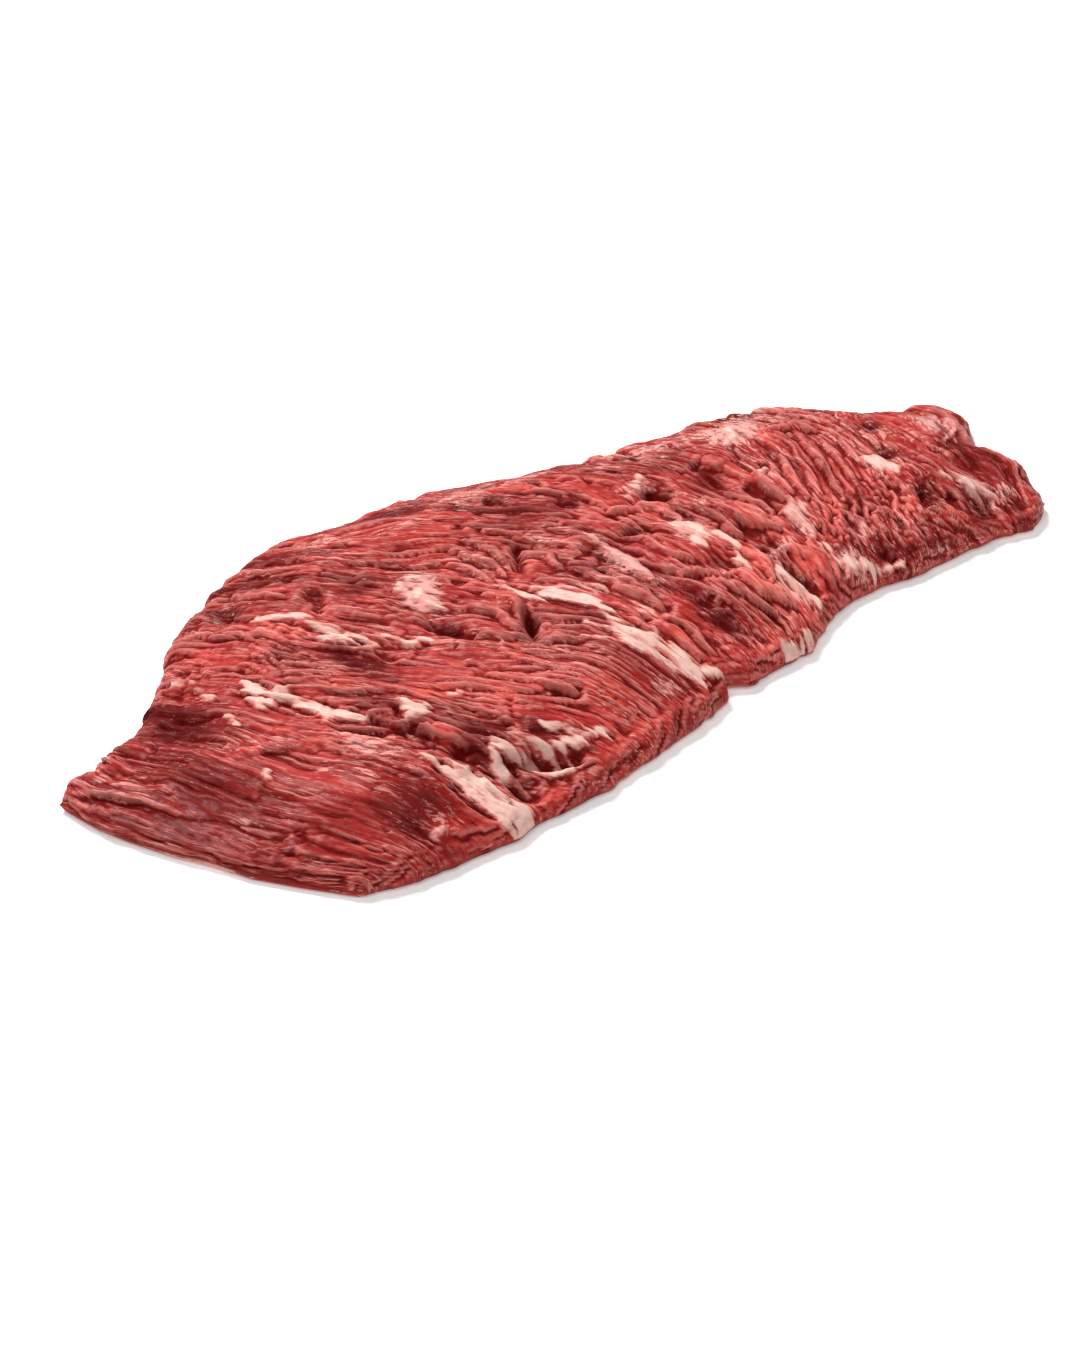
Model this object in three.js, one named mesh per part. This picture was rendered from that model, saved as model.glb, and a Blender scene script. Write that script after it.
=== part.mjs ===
// Raw beef flank steak: one slab of coarse-grained muscle that lies flat.
// Millimetres, +Z up, the origin on the resting plane under the middle of the slab.
// Its grain crosses it from the back edge (+Y) to the front edge (-Y), so the surface is worked out on
// grain lines: "along" is the distance on such a line from the back edge, "across" the distance from the
// left end.
import * as THREE from "three";

// Grain lines, from the left end to the right end: where each leaves the back edge, where it reaches the
// front edge, and how far its middle bows towards +X.
const GRAIN_LINES = [
  { back: [-196, 33], front: [-156, -71], bow: -8 },
  { back: [-175, 41], front: [-142, -77], bow: -5 },
  { back: [-157, 44], front: [-114, -84], bow: 5 },
  { back: [-137, 57], front: [-85, -86], bow: 9 },
  { back: [-113, 76], front: [-55, -88], bow: 6 },
  { back: [-82, 88], front: [-23, -87], bow: 11 },
  { back: [-55, 95], front: [6, -84], bow: 16 },
  { back: [-24, 87], front: [28, -83], bow: 21 },
  { back: [8, 83], front: [46, -84], bow: 23 },
  { back: [43, 67], front: [63, -78], bow: 20 },
  { back: [79, 52], front: [81, -75], bow: 15 },
  { back: [114, 45], front: [98, -77], bow: 11 },
  { back: [141, 35], front: [121, -82], bow: 9 },
  { back: [160, 18], front: [145, -85], bow: 7 },
  { back: [183, -4], front: [166, -91], bow: 5 },
  { back: [202, -11], front: [180, -84], bow: -2 },
];

// Thickness of the slab at its rim and in its middle, and how far in from the rim it reaches the latter.
const RIM_THICKNESS = 9.5;
const MIDDLE_THICKNESS = 20;
const RIM_REACH = 48;
// Radii over which the top and the underside turn into the rim, and the height of the rim's widest line.
const TOP_ROUNDING = 8;
const UNDER_ROUNDING = 3.6;
const RIM_HEIGHT = 3.2;

// Broad rises and hollows of the top: centre, radii along X and Y, and height.
const SWELLS = [
  { at: [-172, -15], radii: [26, 60], rise: -4.5 },
  { at: [-122, -48], radii: [18, 34], rise: 2.5 },
  { at: [-148, 26], radii: [9, 15], rise: -3 },
  { at: [-104, -62], radii: [6, 22], rise: -2 },
  { at: [-80, -76], radii: [12, 9], rise: -4.5 },
  { at: [-58, 53], radii: [36, 26], rise: 2.5 },
  { at: [-38, -1], radii: [14, 20], rise: 2 },
  { at: [-29, -50], radii: [26, 30], rise: 1.5 },
  { at: [24, -58], radii: [9, 16], rise: -3 },
  { at: [41, -4], radii: [8, 5], rise: -2 },
  { at: [46, -37], radii: [8, 8], rise: -3 },
  { at: [62, 7], radii: [5, 5], rise: -3.5 },
  { at: [75, -60], radii: [9, 14], rise: 3 },
  { at: [87, -1], radii: [5.5, 9], rise: -5 },
  { at: [104, -70], radii: [7, 8], rise: -3.5 },
  { at: [152, -77], radii: [8, 6], rise: -3 },
  { at: [170, -56], radii: [10, 9], rise: -4.5 },
];

// Clefts where the muscle has parted (negative rise) and cords of it that stand proud (positive rise).
const FOLDS = [
  { from: [-98, -33], to: [-94, -52], halfWidth: 3, rise: -3.5 },
  { from: [-94, -52], to: [-86, -78], halfWidth: 3.5, rise: -4.5 },
  { from: [-78, -68], to: [-65, -78], halfWidth: 2.4, rise: -4.5 },
  { from: [-54, 3], to: [-48, -9], halfWidth: 2.8, rise: -4.5 },
  { from: [-34, -27], to: [-25, -15], halfWidth: 2.6, rise: -5.5 },
  { from: [-7, 8], to: [1, 19], halfWidth: 2.4, rise: -3.5 },
  { from: [26, -24], to: [28, -50], halfWidth: 2.8, rise: -2.8 },
  { from: [91, -12], to: [87, -30], halfWidth: 2.8, rise: -4.5 },
  { from: [69, -30], to: [70, -45], halfWidth: 2.4, rise: -3 },
  { from: [66, -55], to: [65, -69], halfWidth: 2.8, rise: -4.5 },
  { from: [138, -58], to: [134, -63], halfWidth: 2.8, rise: -3 },
  { from: [-149, -1], to: [-127, -23], halfWidth: 4.2, rise: 2.3 },
  { from: [-127, -23], to: [-111, -61], halfWidth: 4.2, rise: 2.3 },
  { from: [6, -8], to: [11, -42], halfWidth: 3, rise: 2.2 },
  { from: [22, -5], to: [20, -34], halfWidth: 3.6, rise: 2.4 },
  { from: [34, -10], to: [35, -34], halfWidth: 3, rise: 2.2 },
  { from: [35, -36], to: [42, -72], halfWidth: 3, rise: 2.6 },
  { from: [46, -48], to: [50, -73], halfWidth: 3.6, rise: 2.8 },
  { from: [65, -10], to: [66, -34], halfWidth: 3, rise: 2.4 },
  { from: [72, -10], to: [76, -41], halfWidth: 3.8, rise: 3 },
  { from: [97, -10], to: [90, -34], halfWidth: 3.6, rise: 3 },
  { from: [119, -1], to: [107, -36], halfWidth: 3.4, rise: 2.2 },
  { from: [132, -13], to: [117, -43], halfWidth: 3.2, rise: 2.2 },
  { from: [144, -48], to: [161, -78], halfWidth: 5, rise: 3.4 },
];

// Edges of upper layers of muscle, each walked with its lower side on the left: how far the surface drops
// there, and the distance over which it comes back.
const LEDGES = [
  {
    points: [[-85, -84], [-93, -57], [-98, -42], [-105, -15], [-111, 3], [-118, 14], [-119, 30]],
    drop: 3.2,
    reach: 11,
  },
  {
    points: [[-151, 2], [-136, -8], [-125, -23], [-121, -40], [-112, -59], [-106, -81]],
    drop: 2.4,
    reach: 7,
  },
  { points: [[-16, 9], [-20, -5], [-25, -16], [-37, -30]], drop: 3, reach: 8 },
  { points: [[96, 13], [88, 13], [82, 7]], drop: 2.5, reach: 8 },
];
// How wide the steep part of a ledge is, and the distance over which a ledge begins and ends.
const LEDGE_WIDTH = 3;
const LEDGE_ENDS = 8;

// Where the rim steps in (negative) or out: its place on the edge (by X at the back and the front, by the
// distance along the grain at the two ends), its half width, and how far it steps.
const RIM_STEPS = {
  back: [
    { place: -189, halfWidth: 4.6, out: 2.3 },
    { place: 3, halfWidth: 3.7, out: -2.8 },
    { place: 88, halfWidth: 5.5, out: 1.4 },
    { place: 147, halfWidth: 5.5, out: 1.8 },
    { place: 191, halfWidth: 5.5, out: 2.8 },
  ],
  front: [
    { place: -101, halfWidth: 4.6, out: 1.4 },
    { place: -61, halfWidth: 4.6, out: 1.4 },
    { place: 10, halfWidth: 4.1, out: -6.9 },
    { place: 43, halfWidth: 5.5, out: 0.9 },
  ],
  left: [{ place: 22, halfWidth: 12, out: 1.2 }],
  right: [
    { place: 13, halfWidth: 13, out: 8 },
    { place: 38, halfWidth: 6, out: -3 },
    { place: 56, halfWidth: 10, out: 6 },
  ],
};
// How far in from an end its steps are felt.
const END_REACH = 16;

// Muscle bundles that show as separate rounded strands: usual length and width of one, height, random seed.
const BUNDLES = { length: 57, width: 9.6, height: 3.2, seed: 11 };
// The bundles wander from side to side by this much, over this length.
const WANDER = { reach: 3.2, length: 42, seed: 5 };
// Unevenness of the rim: distance it strays, and the length over which it does.
const RAGGED = { reach: 1.5, length: 10, seeds: { back: 21, front: 22, left: 31, right: 32 } };

// Steps of the surface: how many there are across the grain, along it on top and along it underneath, how
// many of those turn over each edge, and how far in from the edge these reach.
const ACROSS_STEPS = { count: 136, edge: 4, reach: 7 };
const TOP_STEPS = { count: 34, edge: 4, reach: 7 };
const UNDER_STEPS = { count: 7, edge: 2, reach: 4.5 };

const MEAT_RED = 0xa8443e;

// A repeatable number from 0 to 1 for a pair of whole numbers.
function chance(i, j, seed) {
  let mixed = (Math.imul(i, 374761393) + Math.imul(j, 668265263) + Math.imul(seed, 974634777)) | 0;
  mixed = Math.imul(mixed ^ (mixed >>> 13), 1274126177);
  return ((mixed ^ (mixed >>> 16)) >>> 0) / 4294967296;
}

function smooth(x) {
  const t = Math.min(Math.max(x, 0), 1);
  return t * t * (3 - 2 * t);
}

// Smooth noise from -1 to 1 over the plane, about one rise in each unit square.
function noise(x, y, seed) {
  const i = Math.floor(x);
  const j = Math.floor(y);
  const u = smooth(x - i);
  const v = smooth(y - j);
  const low = chance(i, j, seed) * (1 - u) + chance(i + 1, j, seed) * u;
  const high = chance(i, j + 1, seed) * (1 - u) + chance(i + 1, j + 1, seed) * u;
  return 2 * (low * (1 - v) + high * v) - 1;
}

// The quarter-ellipse rise from 0 at an edge to 1 at the given radius inside it.
function roundOver(distance, radius) {
  const left = 1 - Math.min(Math.max(distance / radius, 0), 1);
  return Math.sqrt(1 - left * left);
}

const backCurve = new THREE.SplineCurve(GRAIN_LINES.map((line) => new THREE.Vector2(...line.back)));
const frontCurve = new THREE.SplineCurve(GRAIN_LINES.map((line) => new THREE.Vector2(...line.front)));
const bowCurve = new THREE.SplineCurve(GRAIN_LINES.map((line) => new THREE.Vector2(line.bow, 0)));

// Distance of each grain line from the left end, measured through the middles of the lines.
const lineAcross = GRAIN_LINES.reduce((found, line, n) => {
  if (n === 0) return [0];
  const before = GRAIN_LINES[n - 1];
  const middle = (l) => [(l.back[0] + l.front[0]) / 2 + l.bow, (l.back[1] + l.front[1]) / 2];
  const [ax, ay] = middle(before);
  const [bx, by] = middle(line);
  return [...found, found[n - 1] + Math.hypot(bx - ax, by - ay)];
}, []);
const WIDTH_ACROSS = lineAcross[lineAcross.length - 1];

// The share of the way through the list of grain lines at a distance across.
function lineShare(across) {
  const last = GRAIN_LINES.length - 1;
  let n = 0;
  while (n < last - 1 && across > lineAcross[n + 1]) n += 1;
  return (n + (across - lineAcross[n]) / (lineAcross[n + 1] - lineAcross[n])) / last;
}

// How far one side of the rim strays outwards: its steps at a place, and unevenness by the run along it.
function rimStray(side, place, run) {
  const seed = RAGGED.seeds[side];
  const steps = RIM_STEPS[side].reduce(
    (sum, step) => sum + step.out * Math.exp(-(((place - step.place) / step.halfWidth) ** 2)),
    0,
  );
  const coarse = noise(run / RAGGED.length, 0.5, seed);
  const fine = noise((2.7 * run) / RAGGED.length, 0.5, seed + 2);
  return steps + RAGGED.reach * (0.7 * coarse + 0.4 * fine);
}

// The grain line at a distance across: its two ends, its bow and its length.
function grainLine(across) {
  const share = lineShare(across);
  const back = backCurve.getPoint(share);
  const front = frontCurve.getPoint(share);
  const run = front.clone().sub(back).normalize();
  back.addScaledVector(run, -rimStray("back", back.x, across));
  front.addScaledVector(run, rimStray("front", front.x, across));
  return { across, back, front, bow: bowCurve.getPoint(share).x, length: back.distanceTo(front) };
}

// The place in the plan at a distance along a grain line.
function planPoint(line, along) {
  const u = along / line.length;
  const point = line.back.clone().lerp(line.front, u);
  const nearLeft = Math.exp(-((line.across / END_REACH) ** 2));
  const nearRight = Math.exp(-(((WIDTH_ACROSS - line.across) / END_REACH) ** 2));
  point.x += line.bow * 4 * u * (1 - u);
  point.x += rimStray("right", along, along) * nearRight - rimStray("left", along, along) * nearLeft;
  return point;
}

// Height of the bundles: each is a long rounded strand in its own cell, and the tallest one shows.
function bundleHeight(along, across) {
  const { length, width, height, seed } = BUNDLES;
  const wander = WANDER.reach * noise(along / WANDER.length, across / WANDER.length, WANDER.seed);
  const shifted = across + wander;
  const column = Math.floor(shifted / width);
  let top = 0;
  for (let j = column - 1; j <= column + 1; j += 1) {
    const offset = chance(j, 0, seed);
    const row = Math.floor(along / length + offset);
    for (let i = row - 1; i <= row + 1; i += 1) {
      const middleAlong = (i + 0.5 - offset + 0.3 * (chance(i, j, seed + 1) - 0.5)) * length;
      const middleAcross = (j + 0.5 + 0.5 * (chance(i, j, seed + 2) - 0.5)) * width;
      const halfLength = length * (0.55 + 0.3 * chance(i, j, seed + 3));
      const halfWidth = width * (0.5 + 0.35 * chance(i, j, seed + 4));
      const lean = 0.12 * (chance(i, j, seed + 5) - 0.5);
      const x = (along - middleAlong) / halfLength;
      const y = (shifted - middleAcross - lean * (along - middleAlong)) / halfWidth;
      const tall = 0.5 + 0.5 * chance(i, j, seed + 6);
      const strand = tall * Math.sqrt(Math.max(0, 1 - y * y)) * Math.max(0, 1 - x ** 4);
      top = Math.max(top, strand);
    }
  }
  return top * height;
}

// Distance of a point from a straight stretch, the stretch's length and the nearest point's share of it, and
// whether the point lies on its left (1) or its right (-1).
function fromStretch([ax, ay], [bx, by], x, y) {
  const dx = bx - ax;
  const dy = by - ay;
  const share = Math.min(Math.max(((x - ax) * dx + (y - ay) * dy) / (dx * dx + dy * dy), 0), 1);
  return {
    away: Math.hypot(x - ax - share * dx, y - ay - share * dy),
    length: Math.hypot(dx, dy),
    share,
    side: Math.sign(dx * (y - ay) - dy * (x - ax)),
  };
}

// Share of a fold's rise that is left at a point, by its distance from the fold's line.
function foldShare(fold, x, y) {
  const { away } = fromStretch(fold.from, fold.to, x, y);
  return Math.exp(-((away / fold.halfWidth) ** 2));
}

// How far a ledge lets the surface drop: a smooth step on its line that comes back on the lower side and
// fades out at both ends of the line.
function ledgeDrop({ points, drop, reach }, x, y) {
  let nearest = { away: Infinity };
  let run = 0;
  for (let n = 1; n < points.length; n += 1) {
    const found = fromStretch(points[n - 1], points[n], x, y);
    if (found.away < nearest.away) nearest = { ...found, travelled: run + found.share * found.length };
    run += found.length;
  }
  const low = nearest.side * nearest.away;
  const whole = smooth(nearest.travelled / LEDGE_ENDS) * smooth((run - nearest.travelled) / LEDGE_ENDS);
  return drop * whole * smooth(low / LEDGE_WIDTH + 0.5) * Math.exp(-Math.max(low, 0) / reach);
}

// Swells, folds and ledges at a point of the plan.
function broadRelief(x, y) {
  const swells = SWELLS.reduce((sum, { at, radii, rise }) => {
    const away = ((x - at[0]) / radii[0]) ** 2 + ((y - at[1]) / radii[1]) ** 2;
    return sum + rise * Math.exp(-away);
  }, 0);
  const folds = FOLDS.reduce((sum, fold) => sum + fold.rise * foldShare(fold, x, y), 0);
  return swells + folds - LEDGES.reduce((sum, ledge) => sum + ledgeDrop(ledge, x, y), 0);
}

// Distances inwards from the back, the front, the left and the right edge.
function inwards(line, along) {
  return [along, line.length - along, line.across, WIDTH_ACROSS - line.across];
}

// How far the rounding at all four edges lets a surface reach its full height, from 0 to 1.
function rimShare(line, along, radius) {
  return inwards(line, along).reduce((share, distance) => share * roundOver(distance, radius), 1);
}

function topHeight(line, along) {
  const { x, y } = planPoint(line, along);
  const fullness = inwards(line, along).reduce(
    (share, distance) => share * smooth(0.15 + distance / RIM_REACH),
    1,
  );
  const body = RIM_THICKNESS + (MIDDLE_THICKNESS - RIM_THICKNESS) * fullness;
  const relief = broadRelief(x, y) + bundleHeight(along, line.across) - BUNDLES.height / 2;
  return RIM_HEIGHT + (body + relief - RIM_HEIGHT) * rimShare(line, along, TOP_ROUNDING);
}

function underHeight(line, along) {
  return RIM_HEIGHT * (1 - rimShare(line, along, UNDER_ROUNDING));
}

// Distances along a run, closer together where the surface turns over each edge.
function spread({ count, edge, reach }, length) {
  return Array.from({ length: count + 1 }, (_, k) => {
    if (k < edge) return reach * (k / edge) ** 2;
    if (count - k < edge) return length - reach * ((count - k) / edge) ** 2;
    return reach + ((length - 2 * reach) * (k - edge)) / (count - 2 * edge);
  });
}

// Fills the strip between two rows of points with triangles, whatever their counts.
function stripBetween(upper, lower) {
  const triangles = [];
  let a = 0;
  let b = 0;
  while (a < upper.length - 1 || b < lower.length - 1) {
    const upperNext = a < upper.length - 1 ? (a + 1) / (upper.length - 1) : 2;
    const lowerNext = b < lower.length - 1 ? (b + 1) / (lower.length - 1) : 2;
    if (upperNext <= lowerNext) {
      triangles.push([upper[a], lower[b], upper[a + 1]]);
      a += 1;
    } else {
      triangles.push([upper[a], lower[b], lower[b + 1]]);
      b += 1;
    }
  }
  return triangles.filter(([p, q, r]) => p !== q && q !== r && r !== p);
}

// The closed surface: a grid for the top and a coarser one for the underside, which share the rim's points.
function steakGeometry() {
  const positions = [];
  const addPoint = (line, along, height) => {
    const { x, y } = planPoint(line, along);
    positions.push(x, y, height(line, along));
    return positions.length / 3 - 1;
  };
  const lines = spread(ACROSS_STEPS, WIDTH_ACROSS).map(grainLine);
  const topRows = lines.map((line) =>
    spread(TOP_STEPS, line.length).map((along) => addPoint(line, along, topHeight)),
  );
  const underRows = lines.map((line, n) => {
    const top = topRows[n];
    if (n === 0 || n === lines.length - 1) return top;
    const inner = spread(UNDER_STEPS, line.length).slice(1, -1);
    return [top[0], ...inner.map((along) => addPoint(line, along, underHeight)), top[top.length - 1]];
  });
  const triangles = [];
  for (let n = 0; n < lines.length - 1; n += 1) {
    triangles.push(...stripBetween(topRows[n + 1], topRows[n]));
    triangles.push(...stripBetween(underRows[n], underRows[n + 1]));
  }
  const geometry = new THREE.BufferGeometry();
  geometry.setAttribute("position", new THREE.Float32BufferAttribute(positions, 3));
  geometry.setIndex(triangles.flat());
  geometry.computeBoundingBox();
  const { min, max } = geometry.boundingBox;
  geometry.translate(-(min.x + max.x) / 2, -(min.y + max.y) / 2, -min.z);
  geometry.computeVertexNormals();
  return geometry;
}

const steak = new THREE.Mesh(
  steakGeometry(),
  new THREE.MeshStandardMaterial({ color: MEAT_RED, roughness: 0.42, metalness: 0 }),
);
steak.name = "steak";

const flankSteak = new THREE.Group();
flankSteak.add(steak);
export default flankSteak;
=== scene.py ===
import math

import bpy
import numpy as np
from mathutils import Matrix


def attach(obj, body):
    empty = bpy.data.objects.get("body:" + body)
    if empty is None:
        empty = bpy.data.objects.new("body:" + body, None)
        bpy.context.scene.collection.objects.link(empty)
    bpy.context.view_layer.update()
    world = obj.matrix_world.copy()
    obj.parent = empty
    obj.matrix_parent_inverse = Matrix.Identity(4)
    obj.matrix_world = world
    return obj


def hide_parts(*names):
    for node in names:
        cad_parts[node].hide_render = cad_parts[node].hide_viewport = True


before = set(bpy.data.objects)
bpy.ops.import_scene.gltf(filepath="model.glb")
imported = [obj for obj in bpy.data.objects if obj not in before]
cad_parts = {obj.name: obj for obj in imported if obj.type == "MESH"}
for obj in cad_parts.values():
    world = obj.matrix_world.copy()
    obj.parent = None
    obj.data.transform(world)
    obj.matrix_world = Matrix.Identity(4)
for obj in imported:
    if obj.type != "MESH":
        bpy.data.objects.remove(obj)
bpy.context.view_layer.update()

# Metres in a millimetre. The sizes below are in millimetres, and those of the slab itself are the
# same as in the solid under it.
MM = 0.001

# Grain lines from the left end to the right end: where each leaves the back edge, where it reaches
# the front edge, and how far its middle bows towards +X.
GRAIN_LINES = [
    ((-196, 33), (-156, -71), -8),
    ((-175, 41), (-142, -77), -5),
    ((-157, 44), (-114, -84), 5),
    ((-137, 57), (-85, -86), 9),
    ((-113, 76), (-55, -88), 6),
    ((-82, 88), (-23, -87), 11),
    ((-55, 95), (6, -84), 16),
    ((-24, 87), (28, -83), 21),
    ((8, 83), (46, -84), 23),
    ((43, 67), (63, -78), 20),
    ((79, 52), (81, -75), 15),
    ((114, 45), (98, -77), 11),
    ((141, 35), (121, -82), 9),
    ((160, 18), (145, -85), 7),
    ((183, -4), (166, -91), 5),
    ((202, -11), (180, -84), -2),
]

# Thickness at the rim and in the middle, over what distance the one becomes the other and how far
# along that step the rim is, the radii of the rim's rounding above and below, and the height of the
# line where the two meet.
RIM_THICKNESS = 9.5
MIDDLE_THICKNESS = 20
RIM_REACH = 48
RIM_START = 0.15
TOP_ROUNDING = 8
UNDER_ROUNDING = 3.6
RIM_HEIGHT = 3.2

# Broad rises and hollows of the top: centre, radii along X and Y, and height.
SWELLS = [
    (-172, -15, 26, 60, -4.5), (-122, -48, 18, 34, 2.5), (-148, 26, 9, 15, -3),
    (-104, -62, 6, 22, -2), (-80, -76, 12, 9, -4.5), (-58, 53, 36, 26, 2.5), (-38, -1, 14, 20, 2),
    (-29, -50, 26, 30, 1.5), (24, -58, 9, 16, -3), (41, -4, 8, 5, -2), (46, -37, 8, 8, -3),
    (62, 7, 5, 5, -3.5), (75, -60, 9, 14, 3), (87, -1, 5.5, 9, -5), (104, -70, 7, 8, -3.5),
    (152, -77, 8, 6, -3), (170, -56, 10, 9, -4.5),
]

# Clefts where the muscle has parted (negative rise) and cords of it that stand proud (positive
# rise): the two ends, the half width and the rise.
FOLDS = [
    (-98, -33, -94, -52, 3, -3.5), (-94, -52, -86, -78, 3.5, -4.5), (-78, -68, -65, -78, 2.4, -4.5),
    (-54, 3, -48, -9, 2.8, -4.5), (-34, -27, -25, -15, 2.6, -5.5), (-7, 8, 1, 19, 2.4, -3.5),
    (26, -24, 28, -50, 2.8, -2.8), (92, -12, 87, -30, 1.9, -4.5), (69, -30, 70, -45, 2.4, -3),
    (66, -55, 65, -69, 2.8, -4.5), (138, -58, 134, -63, 2.8, -3), (-149, -1, -127, -23, 4.2, 2.3),
    (-127, -23, -111, -61, 4.2, 2.3), (6, -8, 11, -42, 3, 2.2), (22, -5, 20, -34, 3.6, 2.4),
    (34, -10, 35, -34, 3, 2.2), (35, -36, 42, -72, 3, 2.6), (46, -48, 50, -73, 3.6, 2.8),
    (65, -10, 66, -34, 3, 2.4), (72, -10, 76, -41, 3.8, 3), (97, -10, 90, -34, 3.6, 3),
    (119, -1, 107, -36, 3.4, 2.2), (132, -13, 117, -43, 3.2, 2.2), (144, -48, 161, -78, 5, 3.4),
]

# How much of a proud cord's rise comes from the folds here.
CORD_SHARE = 0.35

# Edges of upper layers of muscle, each a line that is walked with its lower side on the left: how
# far the surface drops there, and over what distance it comes back.
LEDGES = [
    ([(-85, -84), (-93, -57), (-98, -42), (-105, -15), (-111, 3), (-118, 14), (-119, 30)], 3.2, 11),
    ([(-151, 2), (-136, -8), (-125, -23), (-121, -40), (-112, -59), (-106, -81)], 2.4, 7),
    ([(-16, 9), (-20, -5), (-25, -16), (-37, -30)], 2.2, 6),
    ([(96, 13), (88, 13), (82, 7)], 3.0, 8),
    ([(6, 24), (0, 18), (-9, 7)], 2.8, 7),
    ([(-53, 14), (-53, 3), (-47, -9)], 2.8, 7),
    ([(23, -4), (13, -9), (4, -7)], 2.6, 5),
    ([(27, 2), (25, -13), (25, -36)], 2.2, 5),
    ([(36, -38), (45, -47), (52, -43), (57, -35)], 1.6, 6),
    ([(70, 11), (62, 12), (54, 10)], 3.0, 6),
    ([(149, -28), (144, -30), (140, -39)], 2.6, 6),
    ([(-60, -4), (-69, 4), (-77, 13), (-86, 22), (-90, 34)], 2.2, 6),
    ([(-62, -80), (-66, -76), (-73, -72), (-79, -67), (-86, -64), (-90, -67)], 2.8, 7),
    ([(-78, 52), (-78, 38), (-68, 36)], 2.0, 6),
    ([(-101, 74), (-101, 64), (-96, 58)], 1.8, 6),
]
# How wide the steep part of a ledge is, and over what distance a ledge begins and ends.
LEDGE_WIDTH = 1.6
LEDGE_ENDS = 8

# Small torn holes: centre, radius and depth. They are longer along Y, where a distance counts for
# less.
PIT_SHARE_Y = 0.6
PITS = [
    (-25, -16, 2.4, 4), (-32, -24, 1.8, 3), (12, -12, 2.0, 3), (-103, -15, 2, 2),
    (-96, -25, 1.6, 2), (-126, 51, 4, 2.6), (-116, 30, 3, 2), (-97, 65, 2.6, 2), (-71, 61, 2.4, 2),
    (-73, 44, 2.8, 1.6), (-78, 3, 2.6, 2), (-29, 17, 2, 2.4), (-6, 42, 1.5, 1.8), (14, 48, 1.8, 2),
    (17, 43, 1.8, 2), (36, 44, 2, 2), (35, 27, 2.6, 1.8), (51, 32, 1.8, 1.8), (78, 34, 2.4, 1.6),
    (95, 25, 2.6, 2), (62, 6, 3.4, 2), (38, -5, 2.4, 2), (44, -6, 2, 1.6), (29, -52, 3, 2),
    (1, -47, 1.7, 2.4), (13, -46, 1.5, 1.8), (64, -46, 2.2, 2.4), (65, -66, 2, 2), (91, -53, 3, 2),
    (104, -74, 2, 2), (106, -8, 1.7, 2), (144, -36, 1.8, 2), (155, -18, 1.8, 2),
    (137, -61, 1.8, 1.6), (145, -67, 2.6, 2.6), (152, -77, 4.4, 2), (164, -83, 3.6, 2),
    (123, -38, 1.7, 1.8), (121, -54, 2.4, 2.2), (163, -44, 2, 2), (129, -52, 2, 1.8),
    (-84, -67, 2, 2.2), (-60, -22, 2, 1.8), (-56, -10, 1.7, 2), (116, -66, 2, 2),
]

# Where the rim steps in (negative) or out: its place on the edge (by X at the back and the front,
# by the distance along the grain at the two ends), its half width, and how far it steps.
RIM_STEPS = {
    "back": [(-189, 4.6, 2.3), (3, 3.7, -2.8), (88, 5.5, 1.4), (147, 5.5, 1.8), (191, 5.5, 2.8)],
    "front": [(-101, 4.6, 1.4), (-61, 4.6, 1.4), (10, 4.1, -6.9), (43, 5.5, 0.9)],
    "left": [(22, 12, 1.2)],
    "right": [(13, 13, 8), (38, 6, -3), (56, 10, 6)],
}
END_REACH = 16

# The muscle bundles of the solid, and the finer layers, cords and fibres that only the surface here
# has: usual length and width of one, its height, the share of the height that is level with the
# solid, its random seed, how far its crest leans to one side (negative towards the left end), how
# much of its cell the narrowest one fills to each side, how far it waves, how short the torn end is
# (0 for a long taper), how far its ends curl aside, and how much it slants.
BUNDLES = {
    "length": 57, "width": 9.6, "height": 3.2, "share": 0.55, "mean": 0.25, "seed": 11,
    "lean": 0, "fill": 0.5, "wave": 0, "torn_end": 0, "curl": 0, "slant": 0.12,
}
LAYERS = {
    "length": 58, "width": 13, "height": 2.5, "mean": 0.8, "seed": 31,
    "lean": -0.7, "fill": 0.42, "wave": 0.25, "torn_end": 3, "curl": 0.5, "slant": 0.3,
}
WIDE_CORDS = {
    "length": 44, "width": 6, "height": 2.75, "mean": 0.72, "seed": 41,
    "lean": -0.4, "fill": 0.4, "wave": 0.25, "torn_end": 8, "curl": 0.6, "slant": 0.24,
}
CORDS = {
    "length": 40, "width": 3.7, "height": 2.45, "mean": 0.72, "seed": 51,
    "lean": -0.3, "fill": 0.4, "wave": 0.3, "torn_end": 5, "curl": 0.6, "slant": 0.24,
}
FIBRES = {
    "length": 26, "width": 1.7, "height": 0.75, "mean": 0.6, "seed": 71,
    "lean": -0.2, "fill": 0.42, "wave": 0.25, "torn_end": 2, "curl": 0.3, "slant": 0.1,
}
BAND_CORDS = {
    "length": 30, "width": 3.2, "height": 1.8, "mean": 0.7, "seed": 61,
    "lean": 0.2, "fill": 0.4, "wave": 0.4, "torn_end": 3, "curl": 0.6, "slant": 0.2,
}
SCRAPS = {
    "length": 9, "width": 4, "height": 2.8, "mean": 0.72, "seed": 66,
    "lean": -0.3, "fill": 0.45, "wave": 0.4, "torn_end": 1.8, "curl": 0.8, "slant": 1.2,
}
WANDER = {"reach": 3.2, "length": 42, "seed": 5}

# What the strands of every kind share: how far a middle strays in its cell along and across, the
# least half length and what chance adds to it, what chance adds to the half width, the waves in one
# length, where on the half length a curl begins, and the height of the lowest strand.
STRAND = {
    "aside_along": 0.3, "aside_across": 0.5, "half_length": 0.55, "longer": 0.3, "wider": 0.35,
    "waves": 3.5, "curl_start": 0.4, "lowest": 0.5,
}

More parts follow.
